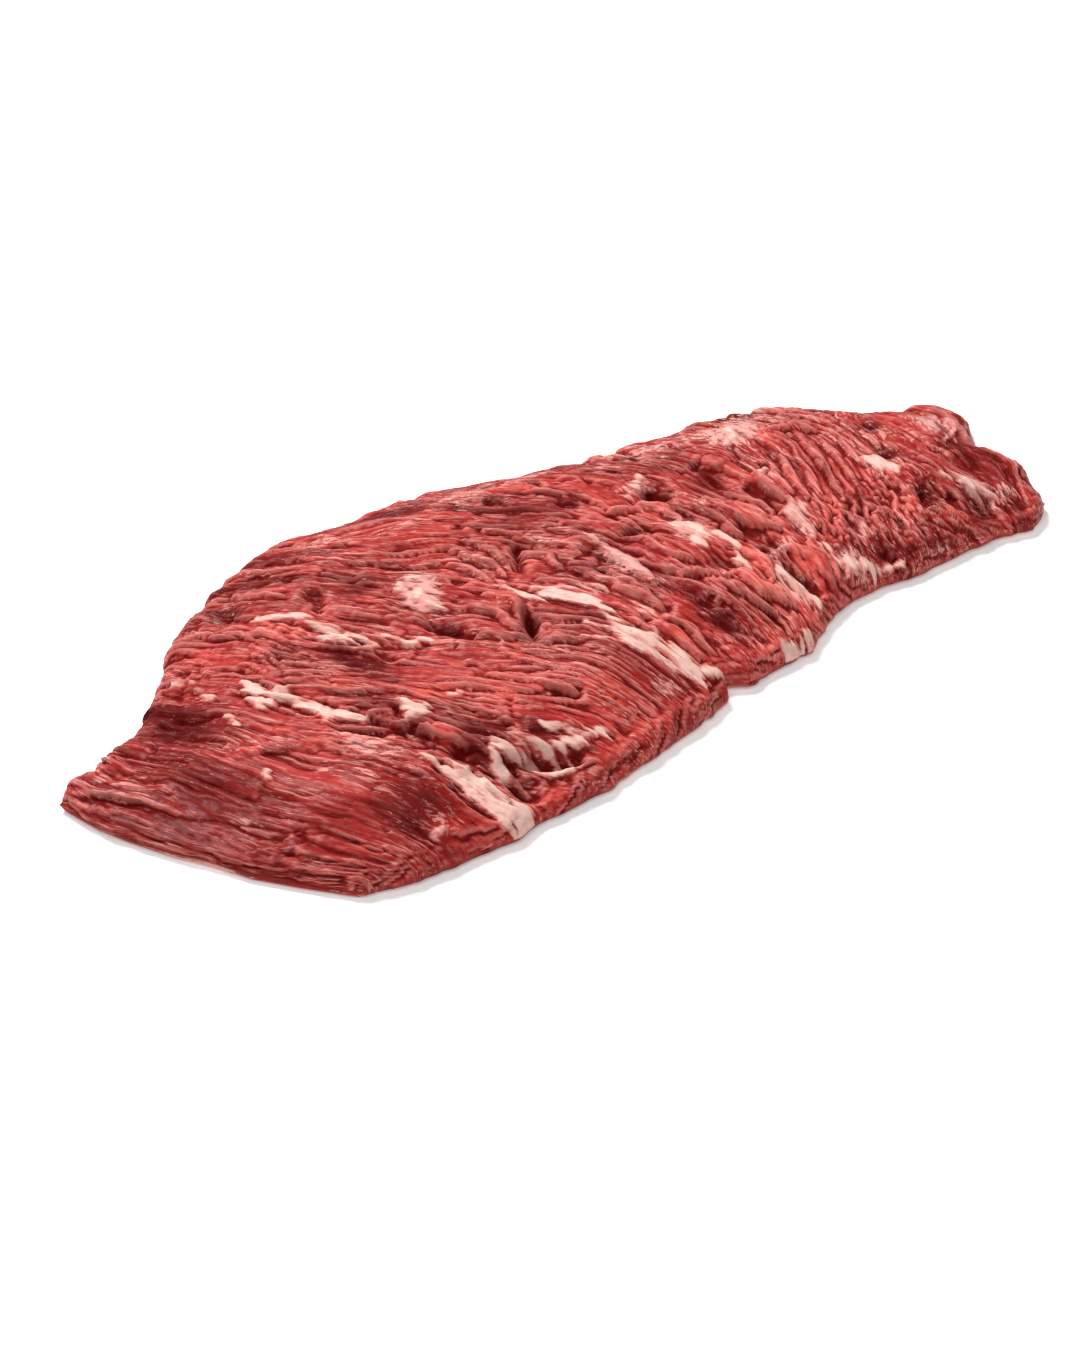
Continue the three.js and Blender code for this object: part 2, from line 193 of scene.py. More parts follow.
# What gives each layer cords of its own, and each cord fibres of its own: the skew of the layers,
# how far the cords turn in a layer, and shifts along and across.
LAYER_SKEW = 0.3
LAYER_TURN = 0.3
SHIFT_IN_LAYER = {"across": 37, "wide": 23, "narrow": 17}
NARROW_ASIDE = 5.3
SHIFT_IN_CORD = {"along": 11, "across": 1.7}
SCRAP_ASIDE = 2.2

# What is taken away at most, as a share: from the cords where the flesh is torn, calm or under a
# film, from the narrow cords and the fibres where it is coarse, from the fibres at the cut edge,
# from the lumps and the tones where it is calm, and from the relief under fat.
LESS_CORD = {"torn": 0.75, "calm": 0.85, "film": 0.4}
LESS_NARROW = 0.4
LESS_FIBRE = {"coarse": 0.3, "edge": 0.5}
LESS_LUMP = 0.7
LESS_TONE = 0.5
LESS_UNDER_FAT = 0.45

# The least share of coarse flesh, of the cords' full height and of the scraps', the crumbs of whole
# and of torn flesh, how much of the cords' swerve the scraps take, and how far the fat stands
# proud and over what depth it begins.
COARSE_LEAST = 0.15
CORD_MEAN = 0.8
SCRAP_MEAN = 0.8
SCRAP_SWERVE = 2
CRUMBS = {"whole": 0.3, "torn": 0.7}
FAT_RISE = 0.5
FAT_START = 1.6

# Noises: the size of a wave along the first and the second distance in millimetres, the seed and
# the most that the noise adds.
NOISES = {
    "ledge_stray": (6, 6, 101, 1.4),
    "ledge_fray": (2.3, 2.3, 102, 0.7),
    "pit_bend_x": (4, 4, 103, 1.8),
    "pit_bend_y": (4, 4, 104, 1.8),
    "pit_fray": (1.8, 1.8, 110, 0.7),
    "fat_stray": (6, 6, 91, 0.9),
    "fat_strings": (14, 1.5, 94, 2.7),
    "fat_threads": (6, 1.1, 95, 1.1),
    "fat_fray": (1.7, 1.7, 92, 0.5),
    "fat_lumps": (2.2, 2.2, 93, 0.25),
    "cord_bend_x": (7, 7, 105, 1.1),
    "cord_bend_y": (7, 7, 106, 1.1),
    "cord_fray": (2.5, 2.5, 107, 0.4),
    "cord_width": (7, 1, 108, 0.3),
    "band_width": (16, 1, 49, 2.5),
    "band_swerve": (9, 5, 48, 2),
    "coarse": (30, 12, 46, 0.4),
    "swerve": (17, 10, 41, 1.5),
    "fine_swerve": (7, 3.5, 42, 0.55),
    "cord_height": (18, 10, 44, 0.65),
    "crumbs": (24, 24, 50, 0.3),
    "knob_height": (8, 8, 51, 0.6),
    "scrap_height": (9, 9, 52, 0.6),
    "tone": (22, 14, 81, 0.12),
    "torn_tone": (6, 6, 85, 0.3),
    "under_tone": (25, 25, 82, 0.2),
    "under_film": (28, 16, 83, 1),
    "under_fat": (30, 9, 84, 1),
}

# Torn flesh: sizes along and across of each noise, its seed and its height. Their mean is taken
# off, and the knobs of the flesh are larger by their scale.
KNOBS = [(5.2, 3.6, 61, 1.5), (2.6, 2.0, 62, 0.9), (1.7, 1.2, 63, 0.5)]
KNOB_MEAN = 0.95
KNOB_SCALE = 0.78

# Ragged rim: how far it strays, the length of a coarse wave and how many fine waves it has, the
# shares of both, and the seed of each side.
RAGGED = {
    "reach": 1.5, "length": 10, "fine_waves": 2.7, "coarse": 0.7, "fine": 0.4,
    "seeds": {"back": 21, "front": 22, "left": 31, "right": 32},
}

# Reach of the band along the cut front edge, and the width over which it begins.
BAND_REACH = 6.5
BAND_START = 3.5

# Painted shade of the hollows, and how it is found: the window of a mean in rows and columns of the
# grid, and what the height below that mean adds. The first of them gives the paler crests too,
# which are partly connective tissue and partly a painted highlight.
HOLLOW_SHADE_WINDOWS = [((2, 1), 0.7), ((4, 2), 0.5), ((14, 6), 0.18)]
HOLLOW_SHADE_START = 0.26
CREST_TISSUE_AND_HIGHLIGHT_GAIN = 2.6
CREST_TISSUE_AND_HIGHLIGHT_START = 0.15

# How much the random numbers of the strands change the tone.
TINT_SHARES = {"cord_tint": 0.3, "bundle_tint": 0.15, "fibre_tint": 0.16, "layer_tint": 0.16}

# Steps of the solid's top, whose box sets the middle of the frame, and of the finer surface made
# here.
SOLID_STEPS = {"across": 136, "along": 34, "edge": 4, "reach": 7}
SURFACE_STEPS = {"across": 690, "along": 126, "under": 13, "edge": 10, "reach": 8}
UNDER_EDGE = {"edge": 3, "reach": 5}

# The underside: how deep the grooves are, the tone and what a cord's random number adds, how dark
# the painted shade in the grooves and how pale the crests, partly tissue and partly a painted
# highlight, are at most, the noise at which film and fat begin, how steeply fat deepens, and how
# far its grain is from the top's.
UNDER = {
    "groove": 0.9, "tone": 0.42, "tint": 0.25, "hollow_shade": 0.6, "crest_tissue_and_highlight": 0.5, "film": 0.1,
    "fat": 0.62, "fat_slope": 6, "aside": 500,
}

# How much longer the surface is over the rounded rim than the plan shows.
RIM_DROP = 6

# How far the fine relief lies under the solid's surface, and the height that the crests level off
# to, from a softer start on.
SINK = 0.3
SOFT_TOP = 23.2
TOP_LIMIT = 25.4

# White fat, as lines with their half widths at both ends.
FAT = [
    ([(-121, 25), (-123, 18), (-125, 13)], 2.6, 3.8),
    ([(-124, 13), (-119, 12), (-115, 5)], 3.2, 2.2),
    ([(-116, 6), (-114, -2), (-114, -9)], 2.2, 3.0),
    ([(-114, -8), (-109, -13), (-106, -18)], 2.4, 1.3),
    ([(-91, -22), (-92, -28)], 1.6, 4.0),
    ([(-96, -29), (-88, -29)], 1.6, 1.8),
    ([(-94, 51), (-89, 43), (-83, 37)], 1.8, 1.8),
    ([(-85, 34), (-83, 27)], 1.3, 2.0),
    ([(-83, 25), (-80, 19), (-75, 14)], 3.0, 2.4),
    ([(-75, 13), (-70, 10), (-67, 6)], 1.9, 1.7),
    ([(-82, 10), (-75, 10)], 1.0, 1.4),
    ([(-68, 4), (-64, 1), (-61, -2)], 2.2, 3.2),
    ([(-107, -47), (-104, -56)], 1.0, 2.8),
    ([(-104, -56), (-102, -66), (-100, -76), (-97, -83)], 3.6, 5.0),
    ([(-102, -59), (-98, -60)], 1.8, 1.4),
    ([(-89, -67), (-87, -61), (-84, -57)], 1.8, 1.2),
    ([(-85, -59), (-80, -67), (-76, -73), (-72, -76)], 2.2, 2.2),
    ([(-71, -76), (-66, -80)], 2.6, 2.2),
    ([(-77, -58), (-75, -64), (-71, -69)], 1.2, 2.4),
    ([(-72, -69), (-64, -72), (-57, -74), (-51, -75)], 2.4, 2.2),
    ([(-66, -63), (-60, -67), (-58, -72)], 1.8, 3.0),
    ([(-20, 2), (-18, -7), (-11, -13)], 1.4, 2.6),
    ([(-11, -13), (-7, -23), (-6, -35)], 2.2, 2.6),
    ([(-8, -37), (-8, -50)], 1.4, 2.4),
    ([(-7, -50), (-6, -60), (-3, -75)], 3.0, 4.2),
    ([(-2, -75), (5, -79)], 3.0, 1.4),
    ([(-23, -38), (-18, -46), (-13, -55), (-8, -62)], 1.4, 2.0),
    ([(-2, -52), (-3, -58)], 1.2, 1.0),
    ([(-37, -48), (-35, -56)], 0.9, 1.1),
    ([(-149, -17), (-150, -19)], 1.4, 1.2),
    ([(-173, -11), (-168, -19), (-165, -26)], 0.2, 0.5),
    ([(-134, 50), (-133, 47)], 1.4, 1.2),
    ([(-130, 44), (-132, 36), (-133, 30)], 0.9, 1.1),
    ([(-137, 17), (-138, 11)], 1.1, 1.3),
    ([(-128, -75), (-123, -75)], 1.0, 0.8),
    ([(10, -48), (12, -50)], 1.5, 1.2),
    ([(52, -12), (55, -20), (51, -26)], 2.2, 2.6),
    ([(59, -27), (58, -36), (52, -45), (51, -50)], 2.0, 1.0),
    ([(64, -53), (65, -54)], 1.8, 1.6),
    ([(60, -57), (62, -65), (60, -74)], 2.4, 3.0),
    ([(84, -65), (88, -68), (95, -74)], 2.6, 2.4),
    ([(85, -56), (86, -60)], 1.4, 1.4),
    ([(89, -37), (88, -46), (85, -51)], 1.6, 1.0),
    ([(55, 13), (61, 15), (66, 19)], 1.7, 1.9),
    ([(118, 23), (113, 14), (106, 12)], 1.6, 1.4),
    ([(136, -34), (137, -43)], 2.6, 3.0),
    ([(149, -58), (155, -68), (160, -77)], 1.4, 2.2),
    ([(104, -9), (97, -10)], 1.2, 0.9),
    ([(186, -34), (172, -41)], 1.1, 0.9),
    ([(33, -82), (40, -84), (47, -83)], 2.2, 1.6),
    ([(88, -70), (97, -74), (105, -76)], 1.8, 1.2),
    ([(-77, -29), (-75, -31)], 1.2, 1.2),
    ([(-14, -4), (-6, -14), (-1, -26)], 0.8, 1.0),
    ([(-3, -12), (1, -24)], 0.6, 0.8),
    ([(-15, -32), (-13, -44)], 0.7, 0.8),
    ([(-13, -44), (-12, -58), (-9, -70)], 0.9, 1.0),
    ([(-50, 26), (-46, 29)], 1.2, 1.7),
    ([(-42, 30), (-37, 27)], 1.6, 1.1),
    ([(-48, 19), (-43, 22)], 1.7, 1.2),
    ([(-39, 23), (-41, 17)], 1.3, 0.9),
    ([(-46, 15), (-45, 7)], 1.7, 0.8),
]

# Thin pale skin of connective tissue that lies over the muscle: centre, radii and strength.
FILM = [
    (-41, 24, 9, 8, 1.0), (-47, 15, 5, 9, 1.0), (-118, -28, 4, 9, 0.8), (-112, -38, 6, 12, 0.5),
    (21, -20, 3.6, 14, 1.1), (5, -42, 4, 5, 0.8), (2, -20, 6, 8, 0.5), (54, -19, 6, 10, 1.1),
    (59, -65, 7, 9, 1.05), (70, -48, 10, 4, 0.6), (88, -68, 8, 7, 1.1), (88, -42, 4, 8, 1.15),
    (93, -36, 4, 4, 1.1), (60, 15, 8, 5, 0.6), (113, 16, 9, 9, 0.7), (101, -12, 6, 8, 0.6),
    (136, -39, 5, 8, 0.8), (155, -67, 6, 11, 0.8), (183, -26, 8, 10, 1.05), (166, -76, 8, 5, 0.6),
    (120, -64, 8, 6, 0.5), (136, -56, 7, 5, 0.4), (104, -58, 5, 6, 0.6), (118, -81, 10, 3, 0.4),
    (68, -8, 5, 10, 0.4), (-18, -74, 7, 6, 0.5), (12, 14, 4, 8, 0.6), (25, 2, 3, 8, 0.8),
    (10, 58, 14, 10, 0.4), (-22, 58, 16, 8, 0.35), (-45, 72, 12, 9, 0.5), (40, 52, 24, 10, 0.4),
    (85, 36, 26, 12, 0.5), (125, 22, 24, 14, 0.6), (140, -20, 14, 16, 0.4), (160, -2, 14, 10, 0.4),
    (-98, 68, 16, 8, 0.3), (-45, -40, 20, 25, 0.2),
]

# Where the flesh is deep maroon (negative) or bright coral (positive), with painted shade
# (negative) in many of the pits and clefts: centre, radii and amount.
TONES_AND_PIT_SHADE = [
    (70, -40, 45, 28, 0.13), (130, -50, 30, 25, 0.13), (0, -62, 30, 18, 0.07),
    (70, -80, 40, 5, 0.14), (140, -86, 30, 6, 0.2), (-75, 74, 36, 12, -0.16),
    (-30, 82, 26, 9, -0.12), (-188, 4, 9, 40, -0.16), (-125, -64, 12, 9, -0.32),
    (-148, 27, 8, 17, -0.45), (-172, -12, 32, 52, -0.18), (-152, -13, 8, 9, -0.15),
    (-78, -76, 12, 8, -0.1), (-97, -15, 9, 9, -0.35), (-84, 2, 8, 7, -0.4), (-87, 16, 4, 8, -0.5),
    (-85, -50, 6, 8, -0.35), (-80, -35, 8, 6, -0.25), (-68, -62, 4, 5, -0.4),
    (-60, -80, 10, 4, -0.2), (-98, -38, 2.5, 8, -0.45), (-91, -56, 2, 5, -0.5),
    (-96, 66, 5, 7, -0.45), (-71, 61, 4, 5, -0.4), (-73, 45, 5, 6, -0.4), (-60, 38, 8, 4, -0.3),
    (-51, -3, 4, 7, -0.6), (-25, -16, 3, 3, -0.6), (-32, -24, 3, 3, -0.6), (-10, 70, 22, 8, -0.25),
    (12, -12, 2.5, 2.5, -0.5), (5, 53, 4, 4, -0.4), (15, 46, 4, 4, -0.4), (17, 33, 9, 7, -0.3),
    (36, 26, 8, 5, -0.45), (26, 10, 5, 6, -0.4), (40, -4, 8, 6, -0.5), (26, -46, 5, 14, -0.45),
    (24, -62, 8, 9, -0.35), (0, -46, 2, 3, -0.5), (48, -38, 7, 7, -0.5), (62, 6, 5, 4, -0.6),
    (79, -3, 6, 6, -0.3), (88, 3, 3, 7, -0.5), (90, -20, 1.8, 9, -0.45), (70, -43, 4, 4, -0.5),
    (65, -62, 2.5, 7, -0.6), (64, -46, 2.5, 4, -0.5), (78, 35, 5, 4, -0.5), (87, 22, 6, 8, -0.25),
    (103, -68, 5, 8, -0.45), (115, -20, 5, 12, -0.3), (144, -36, 4, 5, -0.6),
    (137, -60, 5, 4, -0.5), (152, -78, 6, 5, -0.6), (163, -83, 5, 4, -0.5),
    (170, -54, 13, 10, -0.25), (155, -18, 4, 4, -0.5), (175, -42, 6, 4, -0.4),
    (126, -66, 14, 14, -0.15), (110, -76, 5, 4, -0.4), (127, -80, 6, 3, -0.3),
    (141, -80, 6, 3, -0.25), (118, -60, 5, 5, 0.3), (131, -62, 5, 6, 0.25), (112, -52, 5, 4, 0.2),
    (160, 10, 10, 8, -0.35), (130, 32, 14, 8, -0.3), (-108, 38, 16, 12, 0.24),
    (-118, 55, 6, 8, 0.21), (-139, -3, 9, 6, 0.39), (-132, -22, 7, 10, 0.24),
    (-112, -82, 14, 3, 0.35), (-119, -76, 16, 4, 0.28), (-93, -42, 3, 7, 0.28),
    (-82, -22, 9, 8, 0.24), (-62, -42, 14, 12, 0.21), (-78, 36, 7, 6, 0.24), (-66, 14, 6, 6, 0.21),
    (-85, 66, 6, 8, 0.17), (-28, -4, 6, 8, 0.17), (-25, 24, 5, 5, 0.21), (18, 8, 7, 7, 0.24),
    (7, -22, 5, 12, 0.21), (5, -58, 5, 12, 0.21), (38, 16, 9, 8, 0.24), (46, -58, 4, 10, 0.32),
    (55, -2, 5, 7, 0.21), (74, -25, 4, 14, 0.14), (74, -62, 7, 10, 0.28), (57, -48, 4, 6, 0.28),
    (95, -48, 6, 5, 0.21), (122, 5, 9, 5, 0.28), (125, -20, 14, 14, 0.1), (140, -45, 8, 5, 0.28),
    (-40, -82, 40, 3.5, 0.32), (175, -14, 6, 10, 0.14), (12, -76, 6, 3, 0.28),
    (40, -79, 14, 3, 0.21),
]

# Where the flesh is torn into knobs rather than drawn out in strands: centre, radii and strength.
TORN = [
    (89, -14, 6, 14, 0.35), (-79, -76, 13, 9, 1.0), (-108, 32, 14, 10, 0.8), (-128, 50, 8, 10, 0.6),
    (-148, 25, 10, 14, 0.5), (-142, -3, 9, 5, 0.8), (24, -60, 10, 14, 1.0), (102, -56, 12, 16, 1.0),
    (125, -64, 24, 18, 1.0), (110, -48, 14, 8, 0.8), (150, -70, 14, 16, 0.8),
    (165, -35, 20, 26, 0.5), (-162, -46, 10, 12, 0.5), (-46, 20, 12, 12, 0.7), (61, 4, 10, 8, 0.6),
    (-128, -80, 14, 5, 0.6), (20, 46, 22, 9, 0.7), (-20, 55, 22, 6, 0.5), (-88, 38, 10, 8, 0.5),
    (88, -56, 8, 6, 0.8), (70, 20, 14, 10, 0.4), (-45, -74, 20, 8, 0.4), (-62, 30, 10, 8, 0.5),
    (100, 24, 16, 10, 0.4),
]

# Where the cords are wide: centre, radii and strength.
COARSE = [
    (62, -30, 56, 62, 0.8), (10, -50, 30, 40, 0.3), (140, -30, 30, 40, 0.4), (-35, 25, 30, 40, 0.4),
    (-95, 10, 22, 40, 0.35), (-130, -15, 14, 14, 0.6),
]

# Where the cords run at a slant to the grain lines: centre, radii, and how far they shift towards
# +X for each millimetre towards the back.
SLANTS = [
    (-110, -35, 18, 26, -0.2), (-85, -28, 24, 36, -0.3), (-42, -35, 30, 40, -0.45),
    (-95, 20, 20, 22, -0.22), (-45, 38, 24, 22, -0.42), (22, 34, 20, 22, -0.4),
    (118, -26, 22, 24, 0.34), (150, -64, 12, 16, -0.5),
]

# Single cords that stand out: the points of its line, the half width and the height.
LAID_CORDS = [
    ([(65, -9), (66, -21), (65, -33)], 2.8, 2.2),
    ([(71, -10), (73, -25), (76, -41)], 3.8, 2.8),
    ([(79, -18), (80, -33)], 2.4, 1.8),
    ([(98, -10), (95, -22), (92, -34)], 3.2, 2.6),
    ([(103, -14), (99, -28)], 2.8, 2.0),
    ([(82, -10), (84, -20), (84, -32)], 2.4, 2.0),
    ([(58, -41), (58, -50), (54, -58)], 3.2, 2.2),
    ([(71, -50), (75, -60), (72, -73)], 3.6, 2.2),
    ([(79, -52), (80, -64), (77, -72)], 3.0, 2.0),
    ([(46, -48), (46, -60), (51, -72)], 3.6, 2.8),
    ([(38, -48), (40, -60), (43, -71)], 2.4, 2.2),
    ([(33, -4), (36, -12), (37, -24), (41, -31)], 2.2, 2.0),
    ([(32, -34), (37, -42), (44, -47)], 2.2, 1.8),
    ([(22, -5), (21, -20), (20, -34)], 3.6, 2.6),
    ([(5, -6), (8, -20), (10, -34), (11, -45)], 3.0, 2.4),
    ([(-8, -3), (-1, -14), (4, -24)], 2.6, 1.8),
    ([(14, -14), (14, -28), (13, -38)], 2.4, 1.8),
    ([(12, 10), (19, 3), (22, -6)], 4.6, 2.4),
    ([(18, 18), (23, 10), (26, 0)], 2.4, 2.0),
    ([(2, -48), (5, -58), (4, -70)], 3.8, 2.2),
    ([(10, -50), (12, -60), (11, -70)], 2.6, 1.8),
    ([(3, 18), (6, 8), (4, -2)], 3.4, 2.0),
    ([(-24, 28), (-22, 18), (-20, 8)], 2.4, 1.6),
    ([(-16, 34), (-14, 20), (-14, 8)], 2.6, 1.8),
    ([(-9, 34), (-7, 22), (-9, 12)], 2.2, 1.8),
    ([(0, 34), (5, 26), (8, 18)], 2.4, 1.6),
    ([(-28, 4), (-25, -4), (-27, -14)], 3.4, 1.8),
    ([(-38, 6), (-34, -8), (-34, -18)], 3.4, 1.6),
    ([(-47, -12), (-34, -28), (-24, -40)], 2.6, 1.8),
    ([(-60, -30), (-52, -44), (-46, -58)], 2.6, 1.8),
    ([(127, -12), (119, -26), (111, -42)], 2.4, 2.0),
    ([(133, -14), (125, -30), (118, -44)], 2.4, 2.2),
    ([(121, -8), (113, -22), (105, -36)], 2.4, 1.8),
    ([(139, -18), (131, -34)], 2.2, 2.0),
    ([(114, -8), (108, -18), (101, -34)], 2.2, 1.8),
    ([(141, -46), (148, -57), (156, -70), (161, -79)], 4.2, 2.6),
    ([(150, -18), (147, -30)], 2.4, 1.8),
    ([(-149, 3), (-141, -7), (-128, -22), (-125, -31)], 4.4, 2.6),
    ([(-126, -34), (-116, -50), (-110, -64)], 3.4, 1.8),
    ([(-96, -34), (-92, -46), (-88, -57)], 2.6, 2.2),
    ([(-97, -62), (-96, -76)], 2.4, 1.8),
    ([(-62, 17), (-56, 10), (-54, 4)], 3.6, 2.2),
    ([(-110, 70), (-108, 56), (-103, 44)], 2.8, 1.6),
    ([(-86, 72), (-83, 62), (-80, 54)], 3.0, 2.0),
    ([(-106, 24), (-98, 12), (-90, 2)], 2.4, 1.6),
    ([(-114, 12), (-106, 2), (-98, -8)], 2.4, 1.4),
    ([(53, 6), (57, -2), (57, -12)], 3.4, 2.2),
    ([(42, 12), (50, 4)], 3.0, 1.6),
    ([(122, 8), (132, 2), (138, -6)], 3.0, 2.0),
]

# What the laid cords share: the reach of their tapered ends and where a taper starts, the shares
# of the half width and of the height at an end and what the taper adds, the mean of the noise on
# the width, the share of the height that shows, how wide the flesh beside a cord sinks and how far,
# and how much of the narrow cords' relief lies on it.
LAID = {
    "ends": 12, "taper_start": 0.2, "end_width": 0.32, "more_width": 0.46, "mean_width": 0.9,
    "shown": 0.75, "end_height": 0.35, "beside_share": 0.8, "beside": 1.2, "sink": 0.8,
    "relief": 0.5,
}

# Where the flesh is smooth, with hardly any strands: centre, radii and strength.
SMOOTH_PATCHES = [
    (-125, -63, 12, 9, 0.75), (-162, -24, 28, 42, 0.68), (-140, -52, 16, 20, 0.35),
    (151, -59, 10, 10, 0.3),
]

# Colours of the flesh, on the usual 0 to 255 scale: the ramp from the darkest tone to the
# brightest, and what is laid over it, painted shade and a partly painted highlight among them.
FLESH = [
    (0.05, (86, 14, 15)),
    (0.3, (118, 21, 19)),
    (0.55, (152, 36, 32)),
    (0.8, (182, 56, 49)),
    (1.0, (208, 86, 74)),
]
COLOURS = {
    "vein": (104, 24, 26),
    "sheath": (222, 150, 140),
    # Paler crests: partly connective tissue, partly a painted highlight.
    "crest_tissue_and_highlight": (230, 152, 142),
    "film": (224, 164, 154),
    # Painted shade in the hollows of the flesh.
    "hollow_shade": (84, 3, 4),
    "dull_fat": (208, 158, 146),
    "pale_fat": (236, 204, 192),
    "fat_border": (206, 138, 126),
    # Painted shade in the hollows of the fat.
    "fat_hollow_shade": (150, 70, 62),
}

# Scales along, across and up of the material's noises, in waves for each millimetre.
GRAINS = {
    "fibre": (0.09, 0.9, 0.5),
    "mottle": (0.35, 0.5, 0.5),
    "patches": (0.03, 0.07, 0.05),
    "dark_streaks": (0.05, 1.1, 0.6),
    "pale_streaks": (0.07, 1.5, 0.8),
    "film": (0.14, 0.8, 0.5),
    "fat": (0.3, 1.2, 0.8),
}

# A depth that stands for no cord, and one for no fat.
NO_CORD = -9.0
NO_FAT = -20.0

# How wide fat has to be for a border that is as ragged as the noise, and the least share of it.
FAT_RAGGED = 3
FAT_LEAST_RAGGED = 0.3

# How much of the fine relief is left at the very rim.
RIM_RELIEF = 0.45

# The attribute of the fat keeps its depth up to so many millimetres to both sides.
FAT_KEPT = 4

# The table's half width and its level, in millimetres.
TABLE_HALF = 2000
TABLE_LEVEL = -0.05

# The camera of the photograph: the point of the plan it looks at, its distance, its height above
# the horizon, the direction it looks along in plan from +X, and its lens.
CAMERA_AIM = (-29.59, -24.49)
CAMERA_DISTANCE = 1117.8
CAMERA_ELEVATION = 36
CAMERA_AZIMUTH = 45
LENS = 85
SENSOR = 36


def chance(i, j, seed):
    """A repeatable number from 0 to 1 for each pair of whole numbers: their mixed 32-bit
    products."""
    i = np.asarray(np.floor(i), np.int64)
    j = np.asarray(np.floor(j), np.int64)
    mixed = (i * 374761393 + j * 668265263 + seed * 974634777) & 0xFFFFFFFF
    mixed = ((mixed ^ (mixed >> 13)) * 1274126177) & 0xFFFFFFFF
    return (mixed ^ (mixed >> 16)) / 4294967296.0


def smooth(x):
    """The smooth step from 0 at 0 to 1 at 1."""
    t = np.clip(x, 0, 1)
    return t * t * (3 - 2 * t)


def noise(x, y, seed):
    """Smooth noise from -1 to 1 over the plane: chances at whole numbers, blended by the smooth
    step."""
    x, y = np.broadcast_arrays(np.asarray(x, float), np.asarray(y, float))
    i = np.floor(x)
    j = np.floor(y)
    u = smooth(x - i)
    v = smooth(y - j)
    low = chance(i, j, seed) * (1 - u) + chance(i + 1, j, seed) * u
    high = chance(i, j + 1, seed) * (1 - u) + chance(i + 1, j + 1, seed) * u
    return 2 * (low * (1 - v) + high * v) - 1


def stray(name, first, second):
    """The noise of that name, over two distances in millimetres, times the most that it adds."""
    first_size, second_size, seed, most = NOISES[name]
    return most * noise(first / first_size, second / second_size, seed)


def round_over(distance, radius):
    """The quarter-ellipse rise from 0 at an edge to 1 at the given radius inside it."""
    left = 1 - np.clip(distance / radius, 0, 1)
    return np.sqrt(1 - left * left)


def spline(points, share):
    """A Catmull-Rom curve through evenly counted points, at shares of the way through them."""
    points = np.asarray(points, float).reshape(len(points), -1)
    place = (len(points) - 1) * share
    k = np.minimum(np.floor(place).astype(int), len(points) - 1)
    t = (place - k)[:, None]
    before = points[np.maximum(k - 1, 0)]
    here = points[k]
    after = points[np.minimum(k + 1, len(points) - 1)]
    beyond = points[np.minimum(k + 2, len(points) - 1)]
    leave = (after - before) / 2
    arrive = (beyond - here) / 2
    cubic = 2 * here - 2 * after + leave + arrive
    square = -3 * here + 3 * after - 2 * leave - arrive
    return ((cubic * t + square) * t + leave) * t + here


BACK_POINTS = np.array([back for back, front, bow in GRAIN_LINES], float)
FRONT_POINTS = np.array([front for back, front, bow in GRAIN_LINES], float)
BOWS = np.array([bow for back, front, bow in GRAIN_LINES], float)


def line_distances():
    """Distance of each grain line from the left end, measured through the middles of the lines."""
    middles = (BACK_POINTS + FRONT_POINTS) / 2
    middles[:, 0] += BOWS
    steps = np.linalg.norm(np.diff(middles, axis=0), axis=1)
    return np.concatenate([[0], np.cumsum(steps)])


LINE_ACROSS = line_distances()
WIDTH_ACROSS = LINE_ACROSS[-1]


def rim_stray(side, place, run):
    """How far one side of the rim strays outwards: a bell for each step, plus noise by the distance
    run."""
    r = RAGGED
    seed = r["seeds"][side]
    steps = 0
    for at, half_width, out in RIM_STEPS[side]:
        steps = steps + out * np.exp(-(((place - at) / half_width) ** 2))
    coarse = noise(run / r["length"], 0.5, seed)
    fine = noise(r["fine_waves"] * run / r["length"], 0.5, seed + 2)
    return steps + r["reach"] * (r["coarse"] * coarse + r["fine"] * fine)


def spread(count, edge, reach, length):
    """Distances along runs: quadratic steps within the reach of each end, even ones between."""
    k = np.arange(count + 1)
    length = np.atleast_1d(length)[:, None]
    even = reach + (length - 2 * reach) * (k - edge) / (count - 2 * edge)
    near = reach * (k / edge) ** 2 + 0 * length
    far = length - reach * ((count - k) / edge) ** 2
    return np.where(k < edge, near, np.where(count - k < edge, far, even))


def slab_plan(rows, columns, edge, reach, row_edge, row_reach):
    """Plan of the slab on its grain lines: each point is the line's chord at its share of the way,
    moved sideways by a parabola as high as the line's bow, and at the two ends by how far the rim
    strays."""
    across = spread(rows, row_edge, row_reach, WIDTH_ACROSS)[0]
    share = np.interp(across, LINE_ACROSS, np.arange(len(LINE_ACROSS))) / (len(LINE_ACROSS) - 1)
    back = spline(BACK_POINTS, share)
    front = spline(FRONT_POINTS, share)
    bow = spline(BOWS, share)
    run = (front - back) / np.linalg.norm(front - back, axis=1, keepdims=True)
    back = back - run * rim_stray("back", back[:, 0], across)[:, None]
    front = front + run * rim_stray("front", front[:, 0], across)[:, None]
    length = np.linalg.norm(front - back, axis=1)
    along = spread(columns, edge, reach, length)
    u = along / length[:, None]
    near_left = np.exp(-((across / END_REACH) ** 2))[:, None]
    near_right = np.exp(-(((WIDTH_ACROSS - across) / END_REACH) ** 2))[:, None]
    x = back[:, :1] + u * (front[:, :1] - back[:, :1]) + 4 * bow * u * (1 - u)
    x = x + rim_stray("right", along, along) * near_right
    x = x - rim_stray("left", along, along) * near_left
    y = back[:, 1:] + u * (front[:, 1:] - back[:, 1:])
    return {
        "x": x,
        "y": y,
        "along": along,
        "across": np.broadcast_to(across[:, None], along.shape),
        "length": length[:, None],
    }


def inwards(plan):
    """Distances inwards from the back, the front, the left and the right edge."""
    along, across = plan["along"], plan["across"]
    return [along, plan["length"] - along, across, WIDTH_ACROSS - across]


def rim_share(plan, radius):
    """How far the rounding lets a surface reach its full height: the product of the four edges'
    rises."""
    return np.prod([round_over(distance, radius) for distance in inwards(plan)], axis=0)


